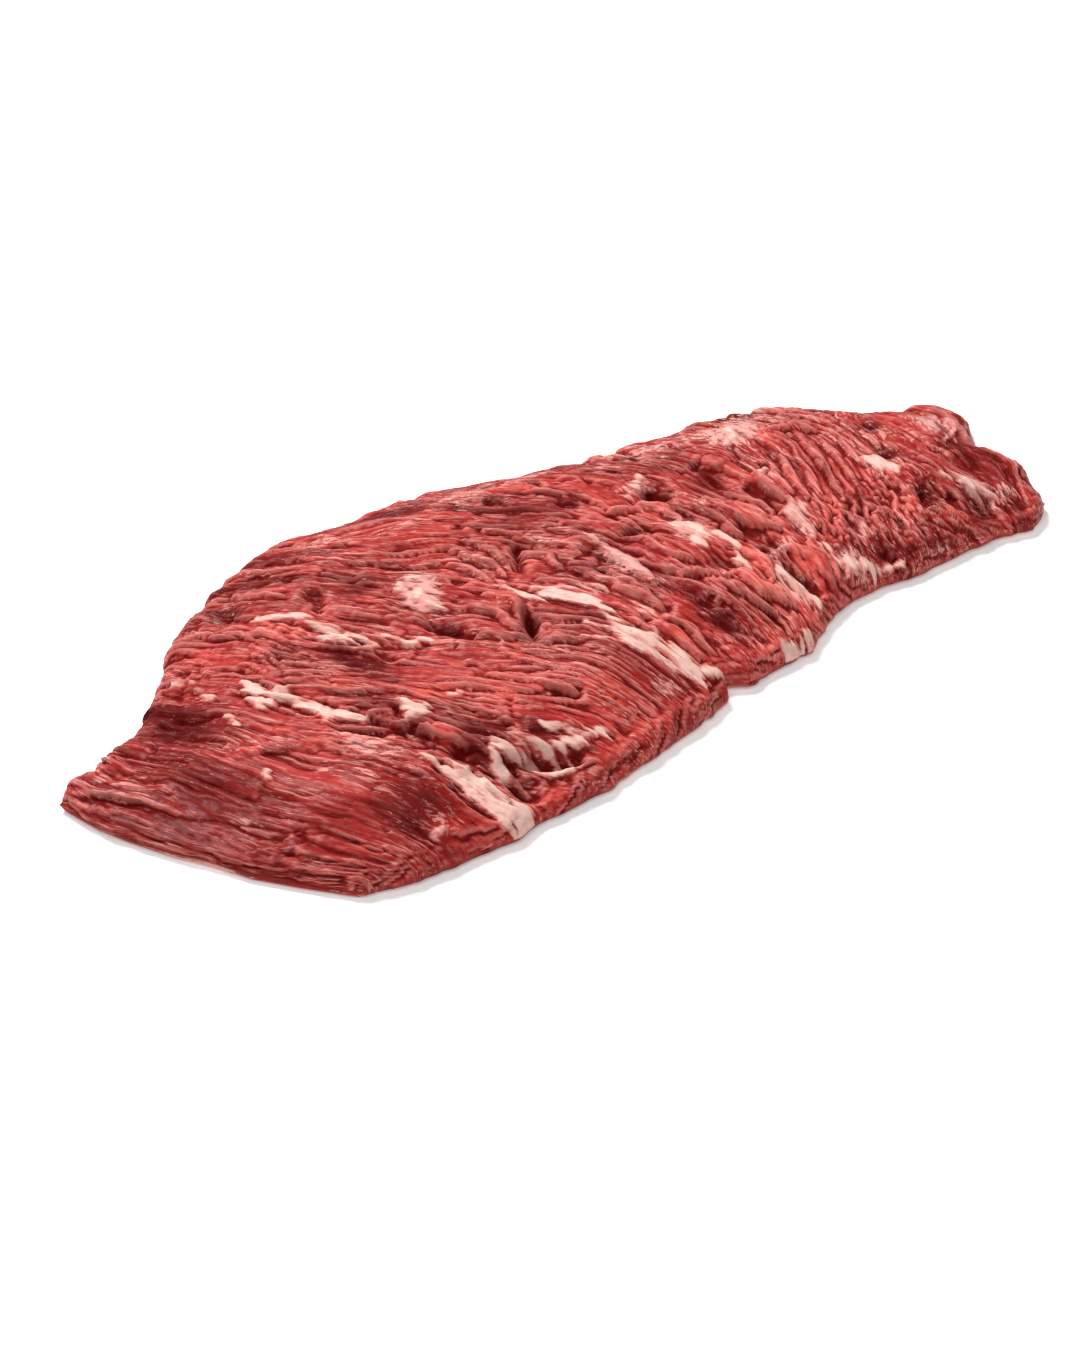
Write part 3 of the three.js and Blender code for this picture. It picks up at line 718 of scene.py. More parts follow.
def strands(along, across, kind):
    """Long rounded strands, each in its own cell of a staggered grid, of which the tallest one
    shows: a strand is half an ellipse across, leaning to one side, times a fall towards its two
    ends, which is a fourth power where it tapers and a short smooth step where it is torn off.
    Gives the height from 0 to 1, and for the strand that shows a random number and the distance
    along it from its middle."""
    length, width, seed = kind["length"], kind["width"], kind["seed"]
    lean, fill = kind["lean"], kind["fill"]
    s = STRAND
    column = np.floor(across / width)
    top = np.zeros_like(along)
    tint = np.full_like(along, 0.5)
    run = np.zeros_like(along)
    for side in (-1, 0, 1):
        j = column + side
        offset = chance(j, 0, seed)
        row = np.floor(along / length + offset)
        for step in (-1, 0, 1):
            i = row + step
            aside_along = s["aside_along"] * (chance(i, j, seed + 1) - 0.5)
            middle_along = (i + 0.5 - offset + aside_along) * length
            aside_across = s["aside_across"] * (chance(i, j, seed + 2) - 0.5)
            middle_across = (j + 0.5 + aside_across) * width
            half_length = length * (s["half_length"] + s["longer"] * chance(i, j, seed + 3))
            half_width = width * (fill + s["wider"] * chance(i, j, seed + 4))
            slant = kind["slant"] * (chance(i, j, seed + 5) - 0.5)
            u = (along - middle_along) / half_length
            aside = across - middle_across - slant * (along - middle_along)
            if kind["wave"]:
                wave = noise(s["waves"] * along / length, 5.3 * j + 1.7 * i, seed + 8)
                aside = aside + kind["wave"] * width * wave
                bend = 2 * chance(i, j, seed + 9) - 1
                curled = np.maximum(0, np.abs(u) - s["curl_start"]) ** 2
                curled = curled / (1 - s["curl_start"]) ** 2
                aside = aside + kind["curl"] * width * bend * curled
            v = np.clip(aside / half_width, -1, 1)
            v = (v - lean) / (1 - lean * v)
            tall = s["lowest"] + (1 - s["lowest"]) * chance(i, j, seed + 6)
            ends = np.maximum(0, 1 - u**4)
            if kind["torn_end"]:
                ends = smooth((1 - np.abs(u)) * half_length / kind["torn_end"])
            strand = tall * np.sqrt(np.maximum(0, 1 - v * v)) * ends
            tint = np.where(strand > top, chance(i, j, seed + 7), tint)
            run = np.where(strand > top, along - middle_along, run)
            top = np.maximum(top, strand)
    return top, tint, run


def wandered(along, across):
    """The distance across, moved from side to side by slow noise, so that the strands aren't
    straight."""
    at = (along / WANDER["length"], across / WANDER["length"])
    return across + WANDER["reach"] * noise(*at, WANDER["seed"])


def raised(kind, strand):
    """Relief of strands in millimetres: their height times how far they rise above their mean."""
    return kind["height"] * (strand - kind["mean"])


def bells(patches, x, y):
    """Sum of bells over the plan, each with its centre, its radii and its height."""
    total = np.zeros_like(x)
    for cx, cy, rx, ry, rise in patches:
        total += rise * np.exp(-(((x - cx) / rx) ** 2) - ((y - cy) / ry) ** 2)
    return total


def line_distance(start, end, x, y):
    """Distance from a straight line's nearest point, and that point's share of the way along it."""
    dx, dy = end[0] - start[0], end[1] - start[1]
    t = np.clip(((x - start[0]) * dx + (y - start[1]) * dy) / (dx * dx + dy * dy), 0, 1)
    return np.hypot(x - start[0] - t * dx, y - start[1] - t * dy), t


def beside(points, x, y):
    """Where a place lies beside a bent line: the distance to the line's nearest point, the side,
    which is 1 on the left, how far along the line that point is, and the line's whole length."""
    nearest = np.full_like(x, 1e9)
    side = np.zeros_like(x)
    travelled = np.zeros_like(x)
    length = 0
    for start, end in zip(points[:-1], points[1:]):
        away, t = line_distance(start, end, x, y)
        dx, dy = end[0] - start[0], end[1] - start[1]
        run = math.hypot(dx, dy)
        closer = away < nearest
        side = np.where(closer, np.sign(dx * (y - start[1]) - dy * (x - start[0])), side)
        travelled = np.where(closer, length + t * run, travelled)
        nearest = np.minimum(away, nearest)
        length += run
    return nearest, side, travelled, length


def folds(x, y):
    """Sum of the clefts and cords: each a bell across its line. A cord is lower here than in the
    solid, because the laid cords bring the rest."""
    total = np.zeros_like(x)
    for x1, y1, x2, y2, half_width, rise in FOLDS:
        away, _ = line_distance((x1, y1), (x2, y2), x, y)
        share = 1 if rise < 0 else CORD_SHARE
        total += share * rise * np.exp(-((away / half_width) ** 2))
    return total


def ledges(x, y):
    """Sum of the ledges: each is a steep smooth step down to its drop on the line's left, which
    comes back by an exponential. Noise moves the line sideways, and the step fades out at the
    line's two ends."""
    total = np.zeros_like(x)
    moved = stray("ledge_stray", x, y) + stray("ledge_fray", x, y)
    for points, drop, reach in LEDGES:
        nearest, side, travelled, length = beside(points, x, y)
        low = side * nearest + moved
        share = smooth(travelled / LEDGE_ENDS) * smooth((length - travelled) / LEDGE_ENDS)
        fall = smooth(low / LEDGE_WIDTH + 0.5) * np.exp(-np.maximum(low, 0) / reach)
        total -= drop * share * fall
    return total


def pits(x, y):
    """Sum of the torn holes: each a bell of the fourth power, longer along the grain, over a plan
    that noise has bent."""
    bent_x = x + stray("pit_bend_x", x, y) + stray("pit_fray", x, y)
    bent_y = y + stray("pit_bend_y", x, y)
    total = np.zeros_like(x)
    for cx, cy, radius, depth in PITS:
        away = np.hypot(bent_x - cx, PIT_SHARE_Y * (bent_y - cy))
        total -= depth * np.exp(-((away / radius) ** 4))
    return total


def body_height(plan):
    """Thickness of the slab without relief: the rim's, growing smoothly to the middle's."""
    shares = [smooth(RIM_START + distance / RIM_REACH) for distance in inwards(plan)]
    fullness = np.prod(shares, axis=0)
    return RIM_THICKNESS + (MIDDLE_THICKNESS - RIM_THICKNESS) * fullness


def solid_relief(plan):
    """Relief that the solid has too: swells, folds and bundles. Gives the bundles' random numbers
    too."""
    x, y = plan["x"], plan["y"]
    bundle, tint, _ = strands(plan["along"], wandered(plan["along"], plan["across"]), BUNDLES)
    bundles = BUNDLES["height"] * (BUNDLES["share"] * bundle - BUNDLES["mean"])
    return bells(SWELLS, x, y) + folds(x, y) + bundles, tint


def over_rim(height, plan):
    """A surface of the given height that turns down to the rim by a quarter ellipse."""
    return RIM_HEIGHT + (height - RIM_HEIGHT) * rim_share(plan, TOP_ROUNDING)


def middle_of_solid():
    """Middle of the box of the solid's plan, which the frame has at its origin."""
    s = SOLID_STEPS
    plan = slab_plan(s["across"], s["along"], s["edge"], s["reach"], s["edge"], s["reach"])
    return [(plan[axis].min() + plan[axis].max()) / 2 for axis in ("x", "y")]


SHIFT_X, SHIFT_Y = middle_of_solid()


def grain_place(plan):
    """Coordinates along and across the grain that also count the way down over the rounded rim, so
    that what is drawn by them isn't stretched there."""
    drop = [RIM_DROP * (1 - round_over(distance, TOP_ROUNDING)) for distance in inwards(plan)]
    return plan["along"] - drop[0] + drop[1], plan["across"] - drop[2] + drop[3]


def fat_depth(x, y, along, across):
    """How deep inside the white fat a point lies, in millimetres, and outside it how far away,
    negative: the largest over all lines of the line's half width there less the distance from it.
    Noise of four sizes moves the border, less so where the line is thin."""
    ragged = stray("fat_stray", x, y) + stray("fat_strings", along, across)
    ragged += stray("fat_threads", along, across) + stray("fat_fray", x, y)
    depth = np.full_like(x, NO_FAT)
    width = np.ones_like(x)
    for points, first, last in FAT:
        pieces = len(points) - 1
        for n in range(pieces):
            away, t = line_distance(points[n], points[n + 1], x, y)
            half_width = first + (last - first) * (n + t) / pieces
            width = np.where(half_width - away > depth, half_width, width)
            depth = np.maximum(depth, half_width - away)
    return depth + ragged * np.clip(width / FAT_RAGGED, FAT_LEAST_RAGGED, 1)


def laid_cords(x, y):
    """Single cords that stand out: each is half an ellipse across its line and falls by smooth
    steps at both ends, over a plan that noise has bent. Gives the highest cord's height, its random
    number, and how near a cord is, from 0 to 1."""
    c = LAID
    bent_x = x + stray("cord_bend_x", x, y) + stray("cord_fray", x, y)
    bent_y = y + stray("cord_bend_y", x, y)
    height = np.full_like(x, NO_CORD)
    tint = np.full_like(x, 0.5)
    near = np.zeros_like(x)
    for number, (points, half_width, rise) in enumerate(LAID_CORDS):
        nearest, _, travelled, length = beside(points, bent_x, bent_y)
        taper = smooth(travelled / c["ends"] + c["taper_start"])
        taper = taper * smooth((length - travelled) / c["ends"] + c["taper_start"])
        width = half_width * (c["end_width"] + c["more_width"] * taper)
        width = width * (c["mean_width"] + stray("cord_width", travelled, number + 0.5))
        profile = np.sqrt(np.maximum(0, 1 - (nearest / width) ** 2))
        tall = c["shown"] * rise * (c["end_height"] + (1 - c["end_height"]) * taper)
        cord = (tall + 1) * profile - 1
        cord = np.where(nearest < width, cord, NO_CORD)
        tint = np.where(cord > height, chance(number, 3, 109), tint)
        height = np.maximum(height, cord)
        reach = c["beside_share"] * half_width + c["beside"]
        near = np.maximum(near, np.exp(-((nearest / reach) ** 4)))
    return height, tint, near


def edge_band(plan):
    """Share of the cut front edge at a point, where the flesh is drawn out along the edge: a smooth
    step over the last millimetres of the way to it, wider or narrower by noise."""
    front = inwards(plan)[1]
    return smooth((BAND_REACH + stray("band_width", plan["across"], 0.5) - front) / BAND_START)


def knobs(along, across):
    """Torn flesh: rounded knobs with sharp valleys between them, which are the sums of noises of
    three sizes without their signs, less their mean."""
    total = 0
    for first, second, seed, height in KNOBS:
        knob = noise(KNOB_SCALE * along / first, KNOB_SCALE * across / second, seed)
        total = total + height * np.abs(knob)
    return total - KNOB_MEAN


def grain_swerve(plan, along, across):
    """How far the cords stray across the grain: noise of two sizes, and where they run at a slant,
    a shift that grows towards the back and levels off by a hyperbolic tangent."""
    swerve = stray("swerve", along, across) + stray("fine_swerve", along, across)
    for cx, cy, rx, ry, slant in SLANTS:
        bell = np.exp(-(((plan["x"] - cx) / rx) ** 2))
        swerve = swerve - slant * ry * np.tanh((plan["y"] - cy) / ry) * bell
    return swerve


def drawn_flesh(plan, along, across, place, swerve):
    """Relief of the flesh that is drawn out: layers, wide and narrow cords in each layer by how
    coarse the flesh is there, the laid cords where they are higher, at the front edge the band's
    cords, and fibres over all of them. Gives the random numbers of the cords, fibres and layers
    too."""
    x, y = plan["x"], plan["y"]
    coarse = bells(COARSE, x, y) + COARSE_LEAST + stray("coarse", along, across)
    coarse = np.clip(coarse, 0, 1)
    layer, layer_tint, layer_run = strands(along + LAYER_SKEW * across, place, LAYERS)
    in_layer = place + LAYER_TURN * (layer_tint - 0.5) * layer_run
    in_layer = in_layer + SHIFT_IN_LAYER["across"] * layer_tint
    wide, wide_tint, _ = strands(along + SHIFT_IN_LAYER["wide"] * layer_tint, in_layer, WIDE_CORDS)
    narrow, narrow_tint, _ = strands(
        along + SHIFT_IN_LAYER["narrow"] * layer_tint, in_layer + NARROW_ASIDE, CORDS
    )
    fibre, fibre_tint, _ = strands(
        along + SHIFT_IN_CORD["along"] * narrow_tint,
        in_layer + SHIFT_IN_CORD["across"] * narrow_tint,
        FIBRES,
    )
    finer = raised(CORDS, narrow)
    lines = coarse * raised(WIDE_CORDS, wide) + (1 - LESS_NARROW * coarse) * finer
    lines = lines * (CORD_MEAN + stray("cord_height", along, place)) + raised(LAYERS, layer)
    laid, laid_tint, near = laid_cords(x, y)
    lines = np.maximum(lines - LAID["sink"] * near, laid + LAID["relief"] * finer)
    shown = laid > lines - 0.01
    cord_tint = np.where(shown, laid_tint, coarse * wide_tint + (1 - coarse) * narrow_tint)
    edge = edge_band(plan)
    swerved = across + stray("band_swerve", across, along)
    band, band_tint, _ = strands(swerved, along + swerve, BAND_CORDS)
    lines = lines * (1 - edge) + edge * raised(BAND_CORDS, band)
    cord_tint = cord_tint * (1 - edge) + edge * band_tint
    fewer = (1 - LESS_FIBRE["coarse"] * coarse) * (1 - LESS_FIBRE["edge"] * edge)
    lines += raised(FIBRES, fibre) * fewer
    return lines, cord_tint, fibre_tint, layer_tint


def surface_relief(plan):
    """Fine relief of the top in millimetres, and what the colour follows: cords and fibres where
    the flesh is drawn out, knobs and scraps where it is torn, ledges and holes, and fat that fills
    the relief and stands a little proud."""
    x, y = plan["x"], plan["y"]
    along, across = grain_place(plan)
    torn = np.clip(bells(TORN, x, y), 0, 1)
    calm = np.clip(bells(SMOOTH_PATCHES, x, y), 0, 1)
    film = np.clip(bells(FILM, x, y), 0, 1)
    fat = fat_depth(x, y, along, across)
    fatty = smooth(0.5 + fat / FAT_START)
    swerve = grain_swerve(plan, along, across)
    place = wandered(along, across) + swerve
    lines, cord_tint, fibre_tint, layer_tint = drawn_flesh(plan, along, across, place, swerve)
    drawn = (1 - LESS_CORD["torn"] * torn) * (1 - LESS_CORD["calm"] * calm)
    drawn = drawn * (1 - LESS_CORD["film"] * film)
    scrap, scrap_tint, _ = strands(along + SCRAP_SWERVE * swerve, place + SCRAP_ASIDE, SCRAPS)
    cord_tint = cord_tint * (1 - torn) + torn * scrap_tint
    crumbs = CRUMBS["whole"] + stray("crumbs", x, y) + CRUMBS["torn"] * torn
    lumps = crumbs * knobs(along, place) * (1 - LESS_LUMP * calm)
    lumps = lumps * (1 + torn * stray("knob_height", x, y))
    lumps += torn * (SCRAP_MEAN + stray("scrap_height", x, y)) * raised(SCRAPS, scrap)
    fat_relief = FAT_RISE + stray("fat_lumps", x, y)
    muscle = lines * drawn + lumps + ledges(x, y) + pits(x, y)
    return {
        "relief": muscle * (1 - LESS_UNDER_FAT * fatty) + fatty * fat_relief,
        "cord_tint": cord_tint,
        "fibre_tint": fibre_tint,
        "layer_tint": layer_tint,
        "torn": torn,
        "calm": calm,
        "film": film,
        "fat": fat,
        "along": along,
        "across": place,
    }


def blurred(values, rows, columns):
    """Mean over a window of the grid that reaches so many rows and columns to each side, by running
    sums."""
    for axis, reach in ((0, rows), (1, columns)):
        width = [(0, 0), (0, 0)]
        width[axis] = (reach + 1, reach)
        total = np.cumsum(np.pad(values, width, mode="edge"), axis=axis)
        size = 2 * reach + 1
        count = values.shape[axis]
        ahead = np.take(total, np.arange(size, size + count), axis=axis)
        values = (ahead - np.take(total, np.arange(count), axis=axis)) / size
    return values


def eased(height):
    """A height that levels off towards the top's limit: past the soft start, an exponential
    approach."""
    over = np.maximum(height - SOFT_TOP, 0) / (TOP_LIMIT - SOFT_TOP)
    return np.minimum(height, SOFT_TOP) + (TOP_LIMIT - SOFT_TOP) * (1 - np.exp(-over))


def outward(points):
    """Unit normals of a grid of points, by the cross product of its two slopes."""
    normal = np.cross(np.gradient(points, axis=1), np.gradient(points, axis=0))
    return normal / (np.linalg.norm(normal, axis=2, keepdims=True) + 1e-12)


def grid_points(plan, height):
    """The plan at a height, centred on the frame."""
    return np.stack([plan["x"] - SHIFT_X, plan["y"] - SHIFT_Y, height], axis=2)


def top_surface():
    """Points of the top, its colour attributes and its place along the grain: the solid's own
    surface, moved along the normals of the smooth body by the fine relief less how far that is
    sunk, with crests that level off. Painted shade darkens hollows, where the height is below the
    means of its surroundings, and the paler crests, partly connective tissue and partly a painted
    highlight, lie above the nearest of them."""
    s = SURFACE_STEPS
    plan = slab_plan(s["across"], s["along"], s["edge"], s["reach"], s["edge"], s["reach"])
    body = body_height(plan)
    normals = outward(grid_points(plan, over_rim(body, plan)))
    relief, bundle_tint = solid_relief(plan)
    detail = surface_relief(plan)
    points = grid_points(plan, over_rim(body + relief, plan))
    fade = RIM_RELIEF + (1 - RIM_RELIEF) * rim_share(plan, TOP_ROUNDING)
    points = points + normals * ((detail["relief"] - SINK) * fade)[..., None]
    points[..., 2] = eased(points[..., 2])
    x, y = plan["x"], plan["y"]
    height = relief + detail["relief"]
    # Painted shade for hollows; paler crests, partly tissue and partly a painted highlight.
    below = [blurred(height, *window) - height for window, _ in HOLLOW_SHADE_WINDOWS]
    hollow_shade = HOLLOW_SHADE_START + sum(share * low for (_, share), low in zip(HOLLOW_SHADE_WINDOWS, below))
    tints = {**detail, "bundle_tint": bundle_tint}
    varied = sum(share * (tints[name] - 0.5) for name, share in TINT_SHARES.items())
    varied = varied + stray("tone", detail["along"], detail["across"])
    varied = varied + detail["torn"] * stray("torn_tone", x, y)
    # The tone also holds painted shade in many pits and clefts, from the table of tones.
    tone = 0.5 + bells(TONES_AND_PIT_SHADE, x, y) + varied * (1 - LESS_TONE * detail["calm"])
    colour = {
        "tone": np.clip(tone, 0, 1),
        "hollow_shade": np.clip(hollow_shade, 0, 1),
        "crest_tissue_and_highlight": np.clip(-CREST_TISSUE_AND_HIGHLIGHT_GAIN * below[0] - CREST_TISSUE_AND_HIGHLIGHT_START, 0, 1),
        "film": detail["film"],
        "fat": np.clip(detail["fat"], -FAT_KEPT, FAT_KEPT),
    }
    grain = np.stack([detail["along"], detail["across"], points[..., 2]], axis=2)
    return points, colour, grain


def under_surface():
    """Points of the underside without the rim: flat where it rests, with shallow grooves between
    cords. Noise gives it patches of film and a little fat."""
    s = SURFACE_STEPS
    e = UNDER_EDGE
    k = UNDER
    plan = slab_plan(s["across"], s["under"], e["edge"], e["reach"], s["edge"], s["reach"])
    cord, tint, _ = strands(plan["along"], wandered(plan["along"], plan["across"]), CORDS)
    inner = smooth((rim_share(plan, UNDER_ROUNDING) - 0.6) / 0.4)
    rim = RIM_HEIGHT * (1 - rim_share(plan, UNDER_ROUNDING))
    height = rim + k["groove"] * (1 - cord) * inner
    x, y = plan["x"], plan["y"]
    fat = k["fat_slope"] * (stray("under_fat", x, y) - k["fat"])
    colour = {
        "tone": k["tone"] + k["tint"] * (tint - 0.5) + stray("under_tone", x, y),
        # Painted shade in the grooves, and paler crests, partly tissue and partly a painted
        # highlight.
        "hollow_shade": np.clip(k["hollow_shade"] * (1 - cord), 0, 1),
        "crest_tissue_and_highlight": smooth((cord - 0.7) / 0.3) * k["crest_tissue_and_highlight"],
        "film": smooth((stray("under_film", x, y) - k["film"]) / 0.5),
        "fat": np.clip(fat, -FAT_KEPT, FAT_KEPT),
    }
    grain = np.stack([plan["along"], plan["across"] + k["aside"], height], axis=2)
    return grid_points(plan, height), colour, grain


def quads(grid):
    """Faces of a grid of point numbers, its rows turning towards its columns."""
    corners = [grid[:-1, :-1], grid[:-1, 1:], grid[1:, 1:], grid[1:, :-1]]
    return np.stack(corners, axis=2).reshape(-1, 4)


def strip(upper, lower):
    """Triangles between two rows of point numbers of different counts: every step of each row is
    joined to the point of the other row that its share of the way has reached."""
    upper_share = np.arange(len(upper)) / (len(upper) - 1)
    lower_share = np.arange(len(lower)) / (len(lower) - 1)
    reached_low = np.searchsorted(lower_share[1:], upper_share[1:], "left")
    reached_up = np.searchsorted(upper_share[1:], lower_share[1:], "right")
    from_upper = np.stack([upper[:-1], lower[reached_low], upper[1:]], axis=1)
    from_lower = np.stack([upper[reached_up], lower[:-1], lower[1:]], axis=1)
    triangles = np.concatenate([from_upper, from_lower])
    whole = (triangles[:, 0] != triangles[:, 1]) & (triangles[:, 1] != triangles[:, 2])
    return triangles[whole & (triangles[:, 2] != triangles[:, 0])]


def new_mesh(name, points, faces):
    """A smooth-shaded mesh object from points in millimetres and lists of faces of equal size."""
    mesh = bpy.data.meshes.new(name)
    corners = np.concatenate([block.ravel() for block in faces])
    sizes = np.concatenate([np.full(len(block), block.shape[1]) for block in faces])
    mesh.vertices.add(len(points))
    mesh.vertices.foreach_set("co", (points * MM).astype(np.float32).ravel())
    mesh.loops.add(len(corners))
    mesh.loops.foreach_set("vertex_index", corners.astype(np.int32))
    mesh.polygons.add(len(sizes))
    starts = np.concatenate([[0], np.cumsum(sizes)[:-1]])
    mesh.polygons.foreach_set("loop_start", starts.astype(np.int32))
    mesh.polygons.foreach_set("use_smooth", np.ones(len(sizes), bool))
    mesh.update(calc_edges=True)
    mesh.validate()
    piece = bpy.data.objects.new(name, mesh)
    bpy.context.scene.collection.objects.link(piece)
    return piece


def give_attributes(piece, colour, grain):
    """Keeps what the colour follows on the points: one number each, and the place along the
    grain."""
    for name, values in colour.items():
        attribute = piece.data.attributes.new(name, "FLOAT", "POINT")
        attribute.data.foreach_set("value", values.astype(np.float32).ravel())
    attribute = piece.data.attributes.new("grain", "FLOAT_VECTOR", "POINT")
    attribute.data.foreach_set("vector", grain.astype(np.float32).ravel())


def steak_body():
    """The slab: top and underside meet in the rim, whose points they share, and strips close the
    two ends."""
    top, top_colour, top_grain = top_surface()
    under, under_colour, under_grain = under_surface()
    rows, columns = top.shape[:2]
    top_ids = np.arange(rows * columns).reshape(rows, columns)
    inner_ids = rows * columns + np.arange((rows - 2) * (under.shape[1] - 2)).reshape(rows - 2, -1)
    under_ids = np.concatenate([top_ids[1:-1, :1], inner_ids, top_ids[1:-1, -1:]], axis=1)
    points = np.concatenate([top.reshape(-1, 3), under[1:-1, 1:-1].reshape(-1, 3)])
    faces = [
        quads(top_ids),
        quads(under_ids)[:, ::-1],
        strip(top_ids[0], under_ids[0]),
        strip(under_ids[-1], top_ids[-1]),
    ]
    piece = new_mesh("steak_body", points, faces)
    colour = {
        name: np.concatenate([values.ravel(), under_colour[name][1:-1, 1:-1].ravel()])
        for name, values in top_colour.items()
    }
    grain = np.concatenate([top_grain.reshape(-1, 3), under_grain[1:-1, 1:-1].reshape(-1, 3)])
    give_attributes(piece, colour, grain)
    return piece


def linear(red, green, blue):
    """A colour on the light scale that shaders use, from the usual 0 to 255 one."""
    share = np.array([red, green, blue]) / 255
    light = np.where(share <= 0.04045, share / 12.92, ((share + 0.055) / 1.055) ** 2.4)
    return (*light.tolist(), 1.0)


class Nodes:
    """Short ways to add and join the nodes of one material."""

    def __init__(self, name):
        """A new material of that name, with no node yet."""
        self.material = bpy.data.materials.new(name)
        self.material.use_nodes = True
        self.tree = self.material.node_tree
        self.tree.nodes.clear()

    def feed(self, socket, value):
        """Links a socket to another one, or sets it to a plain value."""
        if isinstance(value, bpy.types.NodeSocket):
            self.tree.links.new(value, socket)
        else:
            socket.default_value = value

    def add(self, kind, inputs=None, **settings):
        """A node with its settings made and its inputs fed."""
        node = self.tree.nodes.new(kind)
        for key, value in settings.items():
            setattr(node, key, value)
        for key, value in (inputs or {}).items():
            self.feed(node.inputs[key], value)
        return node

    def value(self, name):
        """The number that the points of the mesh keep under that name."""
        return self.add("ShaderNodeAttribute", attribute_name=name).outputs["Fac"]

    def vector(self, name):
        """The three numbers that the points of the mesh keep under that name."""
        return self.add("ShaderNodeAttribute", attribute_name=name).outputs["Vector"]

    def math(self, operation, first, second):
        """Two numbers added, subtracted or multiplied."""
        return self.add("ShaderNodeMath", {0: first, 1: second}, operation=operation).outputs[0]

    def step(self, value, start, end, low=0.0, high=1.0):
        """The smooth step from low at the start to high at the end."""
        inputs = {"Value": value, "From Min": start, "From Max": end, "To Min": low, "To Max": high}
        return self.add("ShaderNodeMapRange", inputs, interpolation_type="SMOOTHSTEP").outputs[0]

    def mix(self, share, first, second):
        """The first colour, and the second one by its share."""
        node = self.tree.nodes.new("ShaderNodeMix")
        node.data_type = "RGBA"
        for place, value in ((0, share), (6, first), (7, second)):
            self.feed(node.inputs[place], value)
        return node.outputs[2]

    def over(self, base, share, most, name):
        """The colour of that name laid over a base by a share times the most."""
        return self.mix(self.math("MULTIPLY", share, most), base, linear(*COLOURS[name]))

    def cloud(self, vector, scale, detail, roughness=0.55):
        """Noise of several sizes from 0 to 1."""
        inputs = {"Vector": vector, "Scale": scale, "Detail": detail, "Roughness": roughness}
        return self.add("ShaderNodeTexNoise", inputs).outputs["Fac"]

    def along_grain(self, vector, name, detail, roughness):
        """Noise that is drawn out along the grain by the scales of that name."""
        stretched = self.add("ShaderNodeMapping", {"Vector": vector, "Scale": GRAINS[name]})
        return self.cloud(stretched.outputs[0], 1.0, detail, roughness)

    def centred(self, base, noise_value, most):
        """A number plus noise around zero times the most."""
        around = self.math("SUBTRACT", noise_value, 0.5)
        return self.math("ADD", base, self.math("MULTIPLY", around, most))

    def ramp(self, value, stops):
        """The colour at a value on a ramp of colours."""
        node = self.add("ShaderNodeValToRGB", {"Fac": value})
        elements = node.color_ramp.elements
        while len(elements) < len(stops):
            elements.new(0.5)
        for element, (position, colour) in zip(elements, stops):
            element.position = position
            element.color = linear(*colour)
        return node.outputs["Color"]


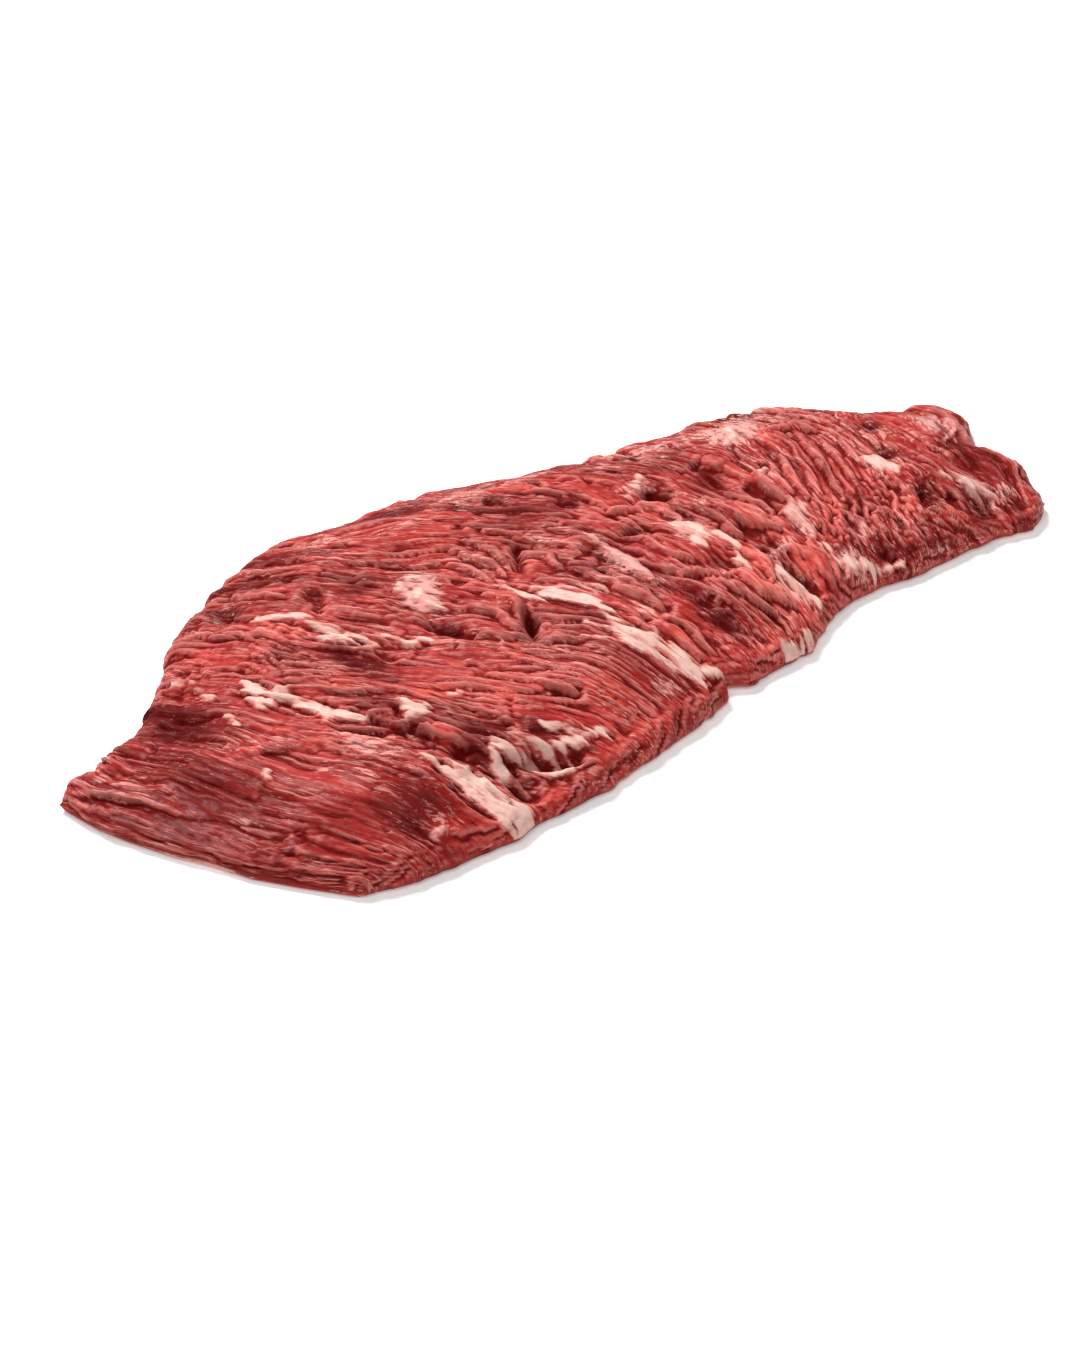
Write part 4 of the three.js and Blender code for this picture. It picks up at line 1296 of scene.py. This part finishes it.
def raw_beef():
    """Wet raw flesh: the tone runs from maroon to coral on a ramp, with dark veins, pale sheaths,
    paler crests, partly connective tissue and partly a painted highlight, and ragged films over it.
    Hollows are darker by painted shade, and duller. Fat is pale, with a pink border that noise
    frays."""
    n = Nodes("raw_beef")
    grain = n.vector("grain")
    fine = n.along_grain(grain, "fibre", 3.0, 0.6)
    mottle = n.along_grain(grain, "mottle", 3.0, 0.6)
    flesh = n.ramp(n.centred(n.centred(n.value("tone"), fine, 0.55), mottle, 0.25), FLESH)
    patches = n.along_grain(grain, "patches", 2.0, 0.5)
    veins = n.step(n.along_grain(grain, "dark_streaks", 2.0, 0.5), 0.54, 0.7)
    flesh = n.over(flesh, veins, 0.45, "vein")
    streaks = n.along_grain(grain, "pale_streaks", 2.0, 0.5)
    sheath = n.math("MULTIPLY", n.step(streaks, 0.55, 0.66), n.step(patches, 0.4, 0.6))
    bright = n.step(n.value("tone"), 0.0, 0.5)
    flesh = n.over(flesh, n.math("MULTIPLY", sheath, bright), 0.75, "sheath")
    # Paler crests: partly connective tissue, partly a painted highlight.
    flesh = n.over(flesh, n.math("MULTIPLY", n.value("crest_tissue_and_highlight"), bright), 0.42, "crest_tissue_and_highlight")
    film_noise = n.along_grain(grain, "film", 5.0, 0.75)
    film = n.step(n.math("ADD", n.value("film"), n.math("MULTIPLY", film_noise, 3.6)), 2.15, 2.6)
    flesh = n.over(flesh, film, 0.8, "film")
    # Painted shade: the hollows of the relief are darkened towards deep maroon.
    shade = n.step(n.value("hollow_shade"), 0.3, 0.95)
    flesh = n.over(flesh, shade, 0.8, "hollow_shade")
    depth = n.centred(n.value("fat"), n.along_grain(grain, "fat", 3.0, 0.6), 3.2)
    place = n.add("ShaderNodeTexCoord").outputs["Object"]
    clots = n.cloud(place, 350.0, 3.0)
    cream = n.mix(clots, linear(*COLOURS["dull_fat"]), linear(*COLOURS["pale_fat"]))
    cream = n.mix(n.step(depth, 0.2, 1.8), linear(*COLOURS["fat_border"]), cream)
    # Painted shade in the hollows of the fat.
    cream = n.over(cream, shade, 0.5, "fat_hollow_shade")
    colour = n.mix(n.math("MULTIPLY", n.step(depth, -0.4, 1.0), 0.94), flesh, cream)
    bump_height = n.math("ADD", n.math("MULTIPLY", fine, 0.7), n.math("MULTIPLY", mottle, 0.5))
    bump = n.add("ShaderNodeBump", {"Height": bump_height, "Strength": 0.5, "Distance": 0.0009})
    wet = n.step(mottle, 0.35, 0.65, 0.3, 0.48)
    roughness = n.math("ADD", wet, n.math("MULTIPLY", shade, 0.45))
    roughness = n.math("ADD", roughness, n.step(n.value("tone"), 0.1, 0.45, 0.22, 0.0))
    shader = n.add(
        "ShaderNodeBsdfPrincipled",
        {
            "Base Color": colour,
            "Roughness": roughness,
            "Normal": bump.outputs[0],
            "Subsurface Weight": 0.12,
            "Subsurface Radius": (1.0, 0.25, 0.15),
            "Subsurface Scale": 0.0015,
            "Specular IOR Level": 0.1,
            "Specular Tint": (1.0, 0.5, 0.45, 1.0),
            "Coat Weight": 0.035,
            "Coat Roughness": 0.13,
        },
    )
    n.add("ShaderNodeOutputMaterial", {"Surface": shader.outputs[0]})
    return n.material


def table_top():
    """A plain white matt table."""
    n = Nodes("white_table")
    inputs = {"Base Color": (0.9, 0.9, 0.9, 1.0), "Roughness": 0.9, "Emission Strength": 0.25}
    shader = n.add("ShaderNodeBsdfPrincipled", {**inputs, "Emission Color": (1.0, 1.0, 1.0, 1.0)})
    n.add("ShaderNodeOutputMaterial", {"Surface": shader.outputs[0]})
    return n.material


def lay_table():
    """A flat square four metres wide, a hair under the slab."""
    signs = ((-1, -1), (1, -1), (1, 1), (-1, 1))
    corners = np.array([(x * TABLE_HALF, y * TABLE_HALF, TABLE_LEVEL) for x, y in signs], float)
    floor = new_mesh("table_top", corners, [np.array([[0, 1, 2, 3]])])
    floor.data.materials.append(table_top())


def soft_light(name, azimuth, elevation, distance, size, power):
    """A square soft light that faces the slab from a direction in degrees, at a distance in
    metres."""
    lamp = bpy.data.lights.new(name, "AREA")
    lamp.shape = "SQUARE"
    lamp.size = size
    lamp.energy = power
    lantern = bpy.data.objects.new(name, lamp)
    a, e = math.radians(azimuth), math.radians(elevation)
    away = (math.cos(e) * math.cos(a), math.cos(e) * math.sin(a), math.sin(e))
    lantern.location = [distance * part for part in away]
    lantern.rotation_mode = "XYZ"
    lantern.rotation_euler = (math.pi / 2 - e, 0, a + math.pi / 2)
    bpy.context.scene.collection.objects.link(lantern)


def studio():
    """White surroundings, a large soft light from behind on the left and a weak one from the
    front."""
    world = bpy.data.worlds.new("white_room")
    world.use_nodes = True
    world.node_tree.nodes["Background"].inputs["Color"].default_value = (1, 1, 1, 1)
    world.node_tree.nodes["Background"].inputs["Strength"].default_value = 0.2
    bpy.context.scene.world = world
    soft_light("window_light", azimuth=85, elevation=58, distance=1.6, size=0.6, power=36)
    soft_light("fill_light", azimuth=215, elevation=55, distance=1.8, size=1.2, power=12)
    bpy.context.scene.view_settings.view_transform = "Standard"


def photo_camera():
    """The camera of the photograph: on the line that leaves its aim backwards along the view."""
    a, e = math.radians(CAMERA_AZIMUTH), math.radians(CAMERA_ELEVATION)
    forward = np.array([math.cos(e) * math.cos(a), math.cos(e) * math.sin(a), -math.sin(e)])
    aim = np.array([CAMERA_AIM[0] - SHIFT_X, CAMERA_AIM[1] - SHIFT_Y, 0])
    data = bpy.data.cameras.new("photo_camera")
    data.lens = LENS
    data.sensor_width = SENSOR
    data.clip_start = 0.05
    data.clip_end = 20
    camera = bpy.data.objects.new("photo_camera", data)
    camera.location = (aim - forward * CAMERA_DISTANCE) * MM
    camera.rotation_mode = "XYZ"
    camera.rotation_euler = (math.pi / 2 - e, 0, a - math.pi / 2)
    bpy.context.scene.collection.objects.link(camera)
    bpy.context.scene.camera = camera


lay_table()
studio()
photo_camera()
body = steak_body()
body.data.materials.append(raw_beef())
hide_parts("steak")
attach(body, "root")
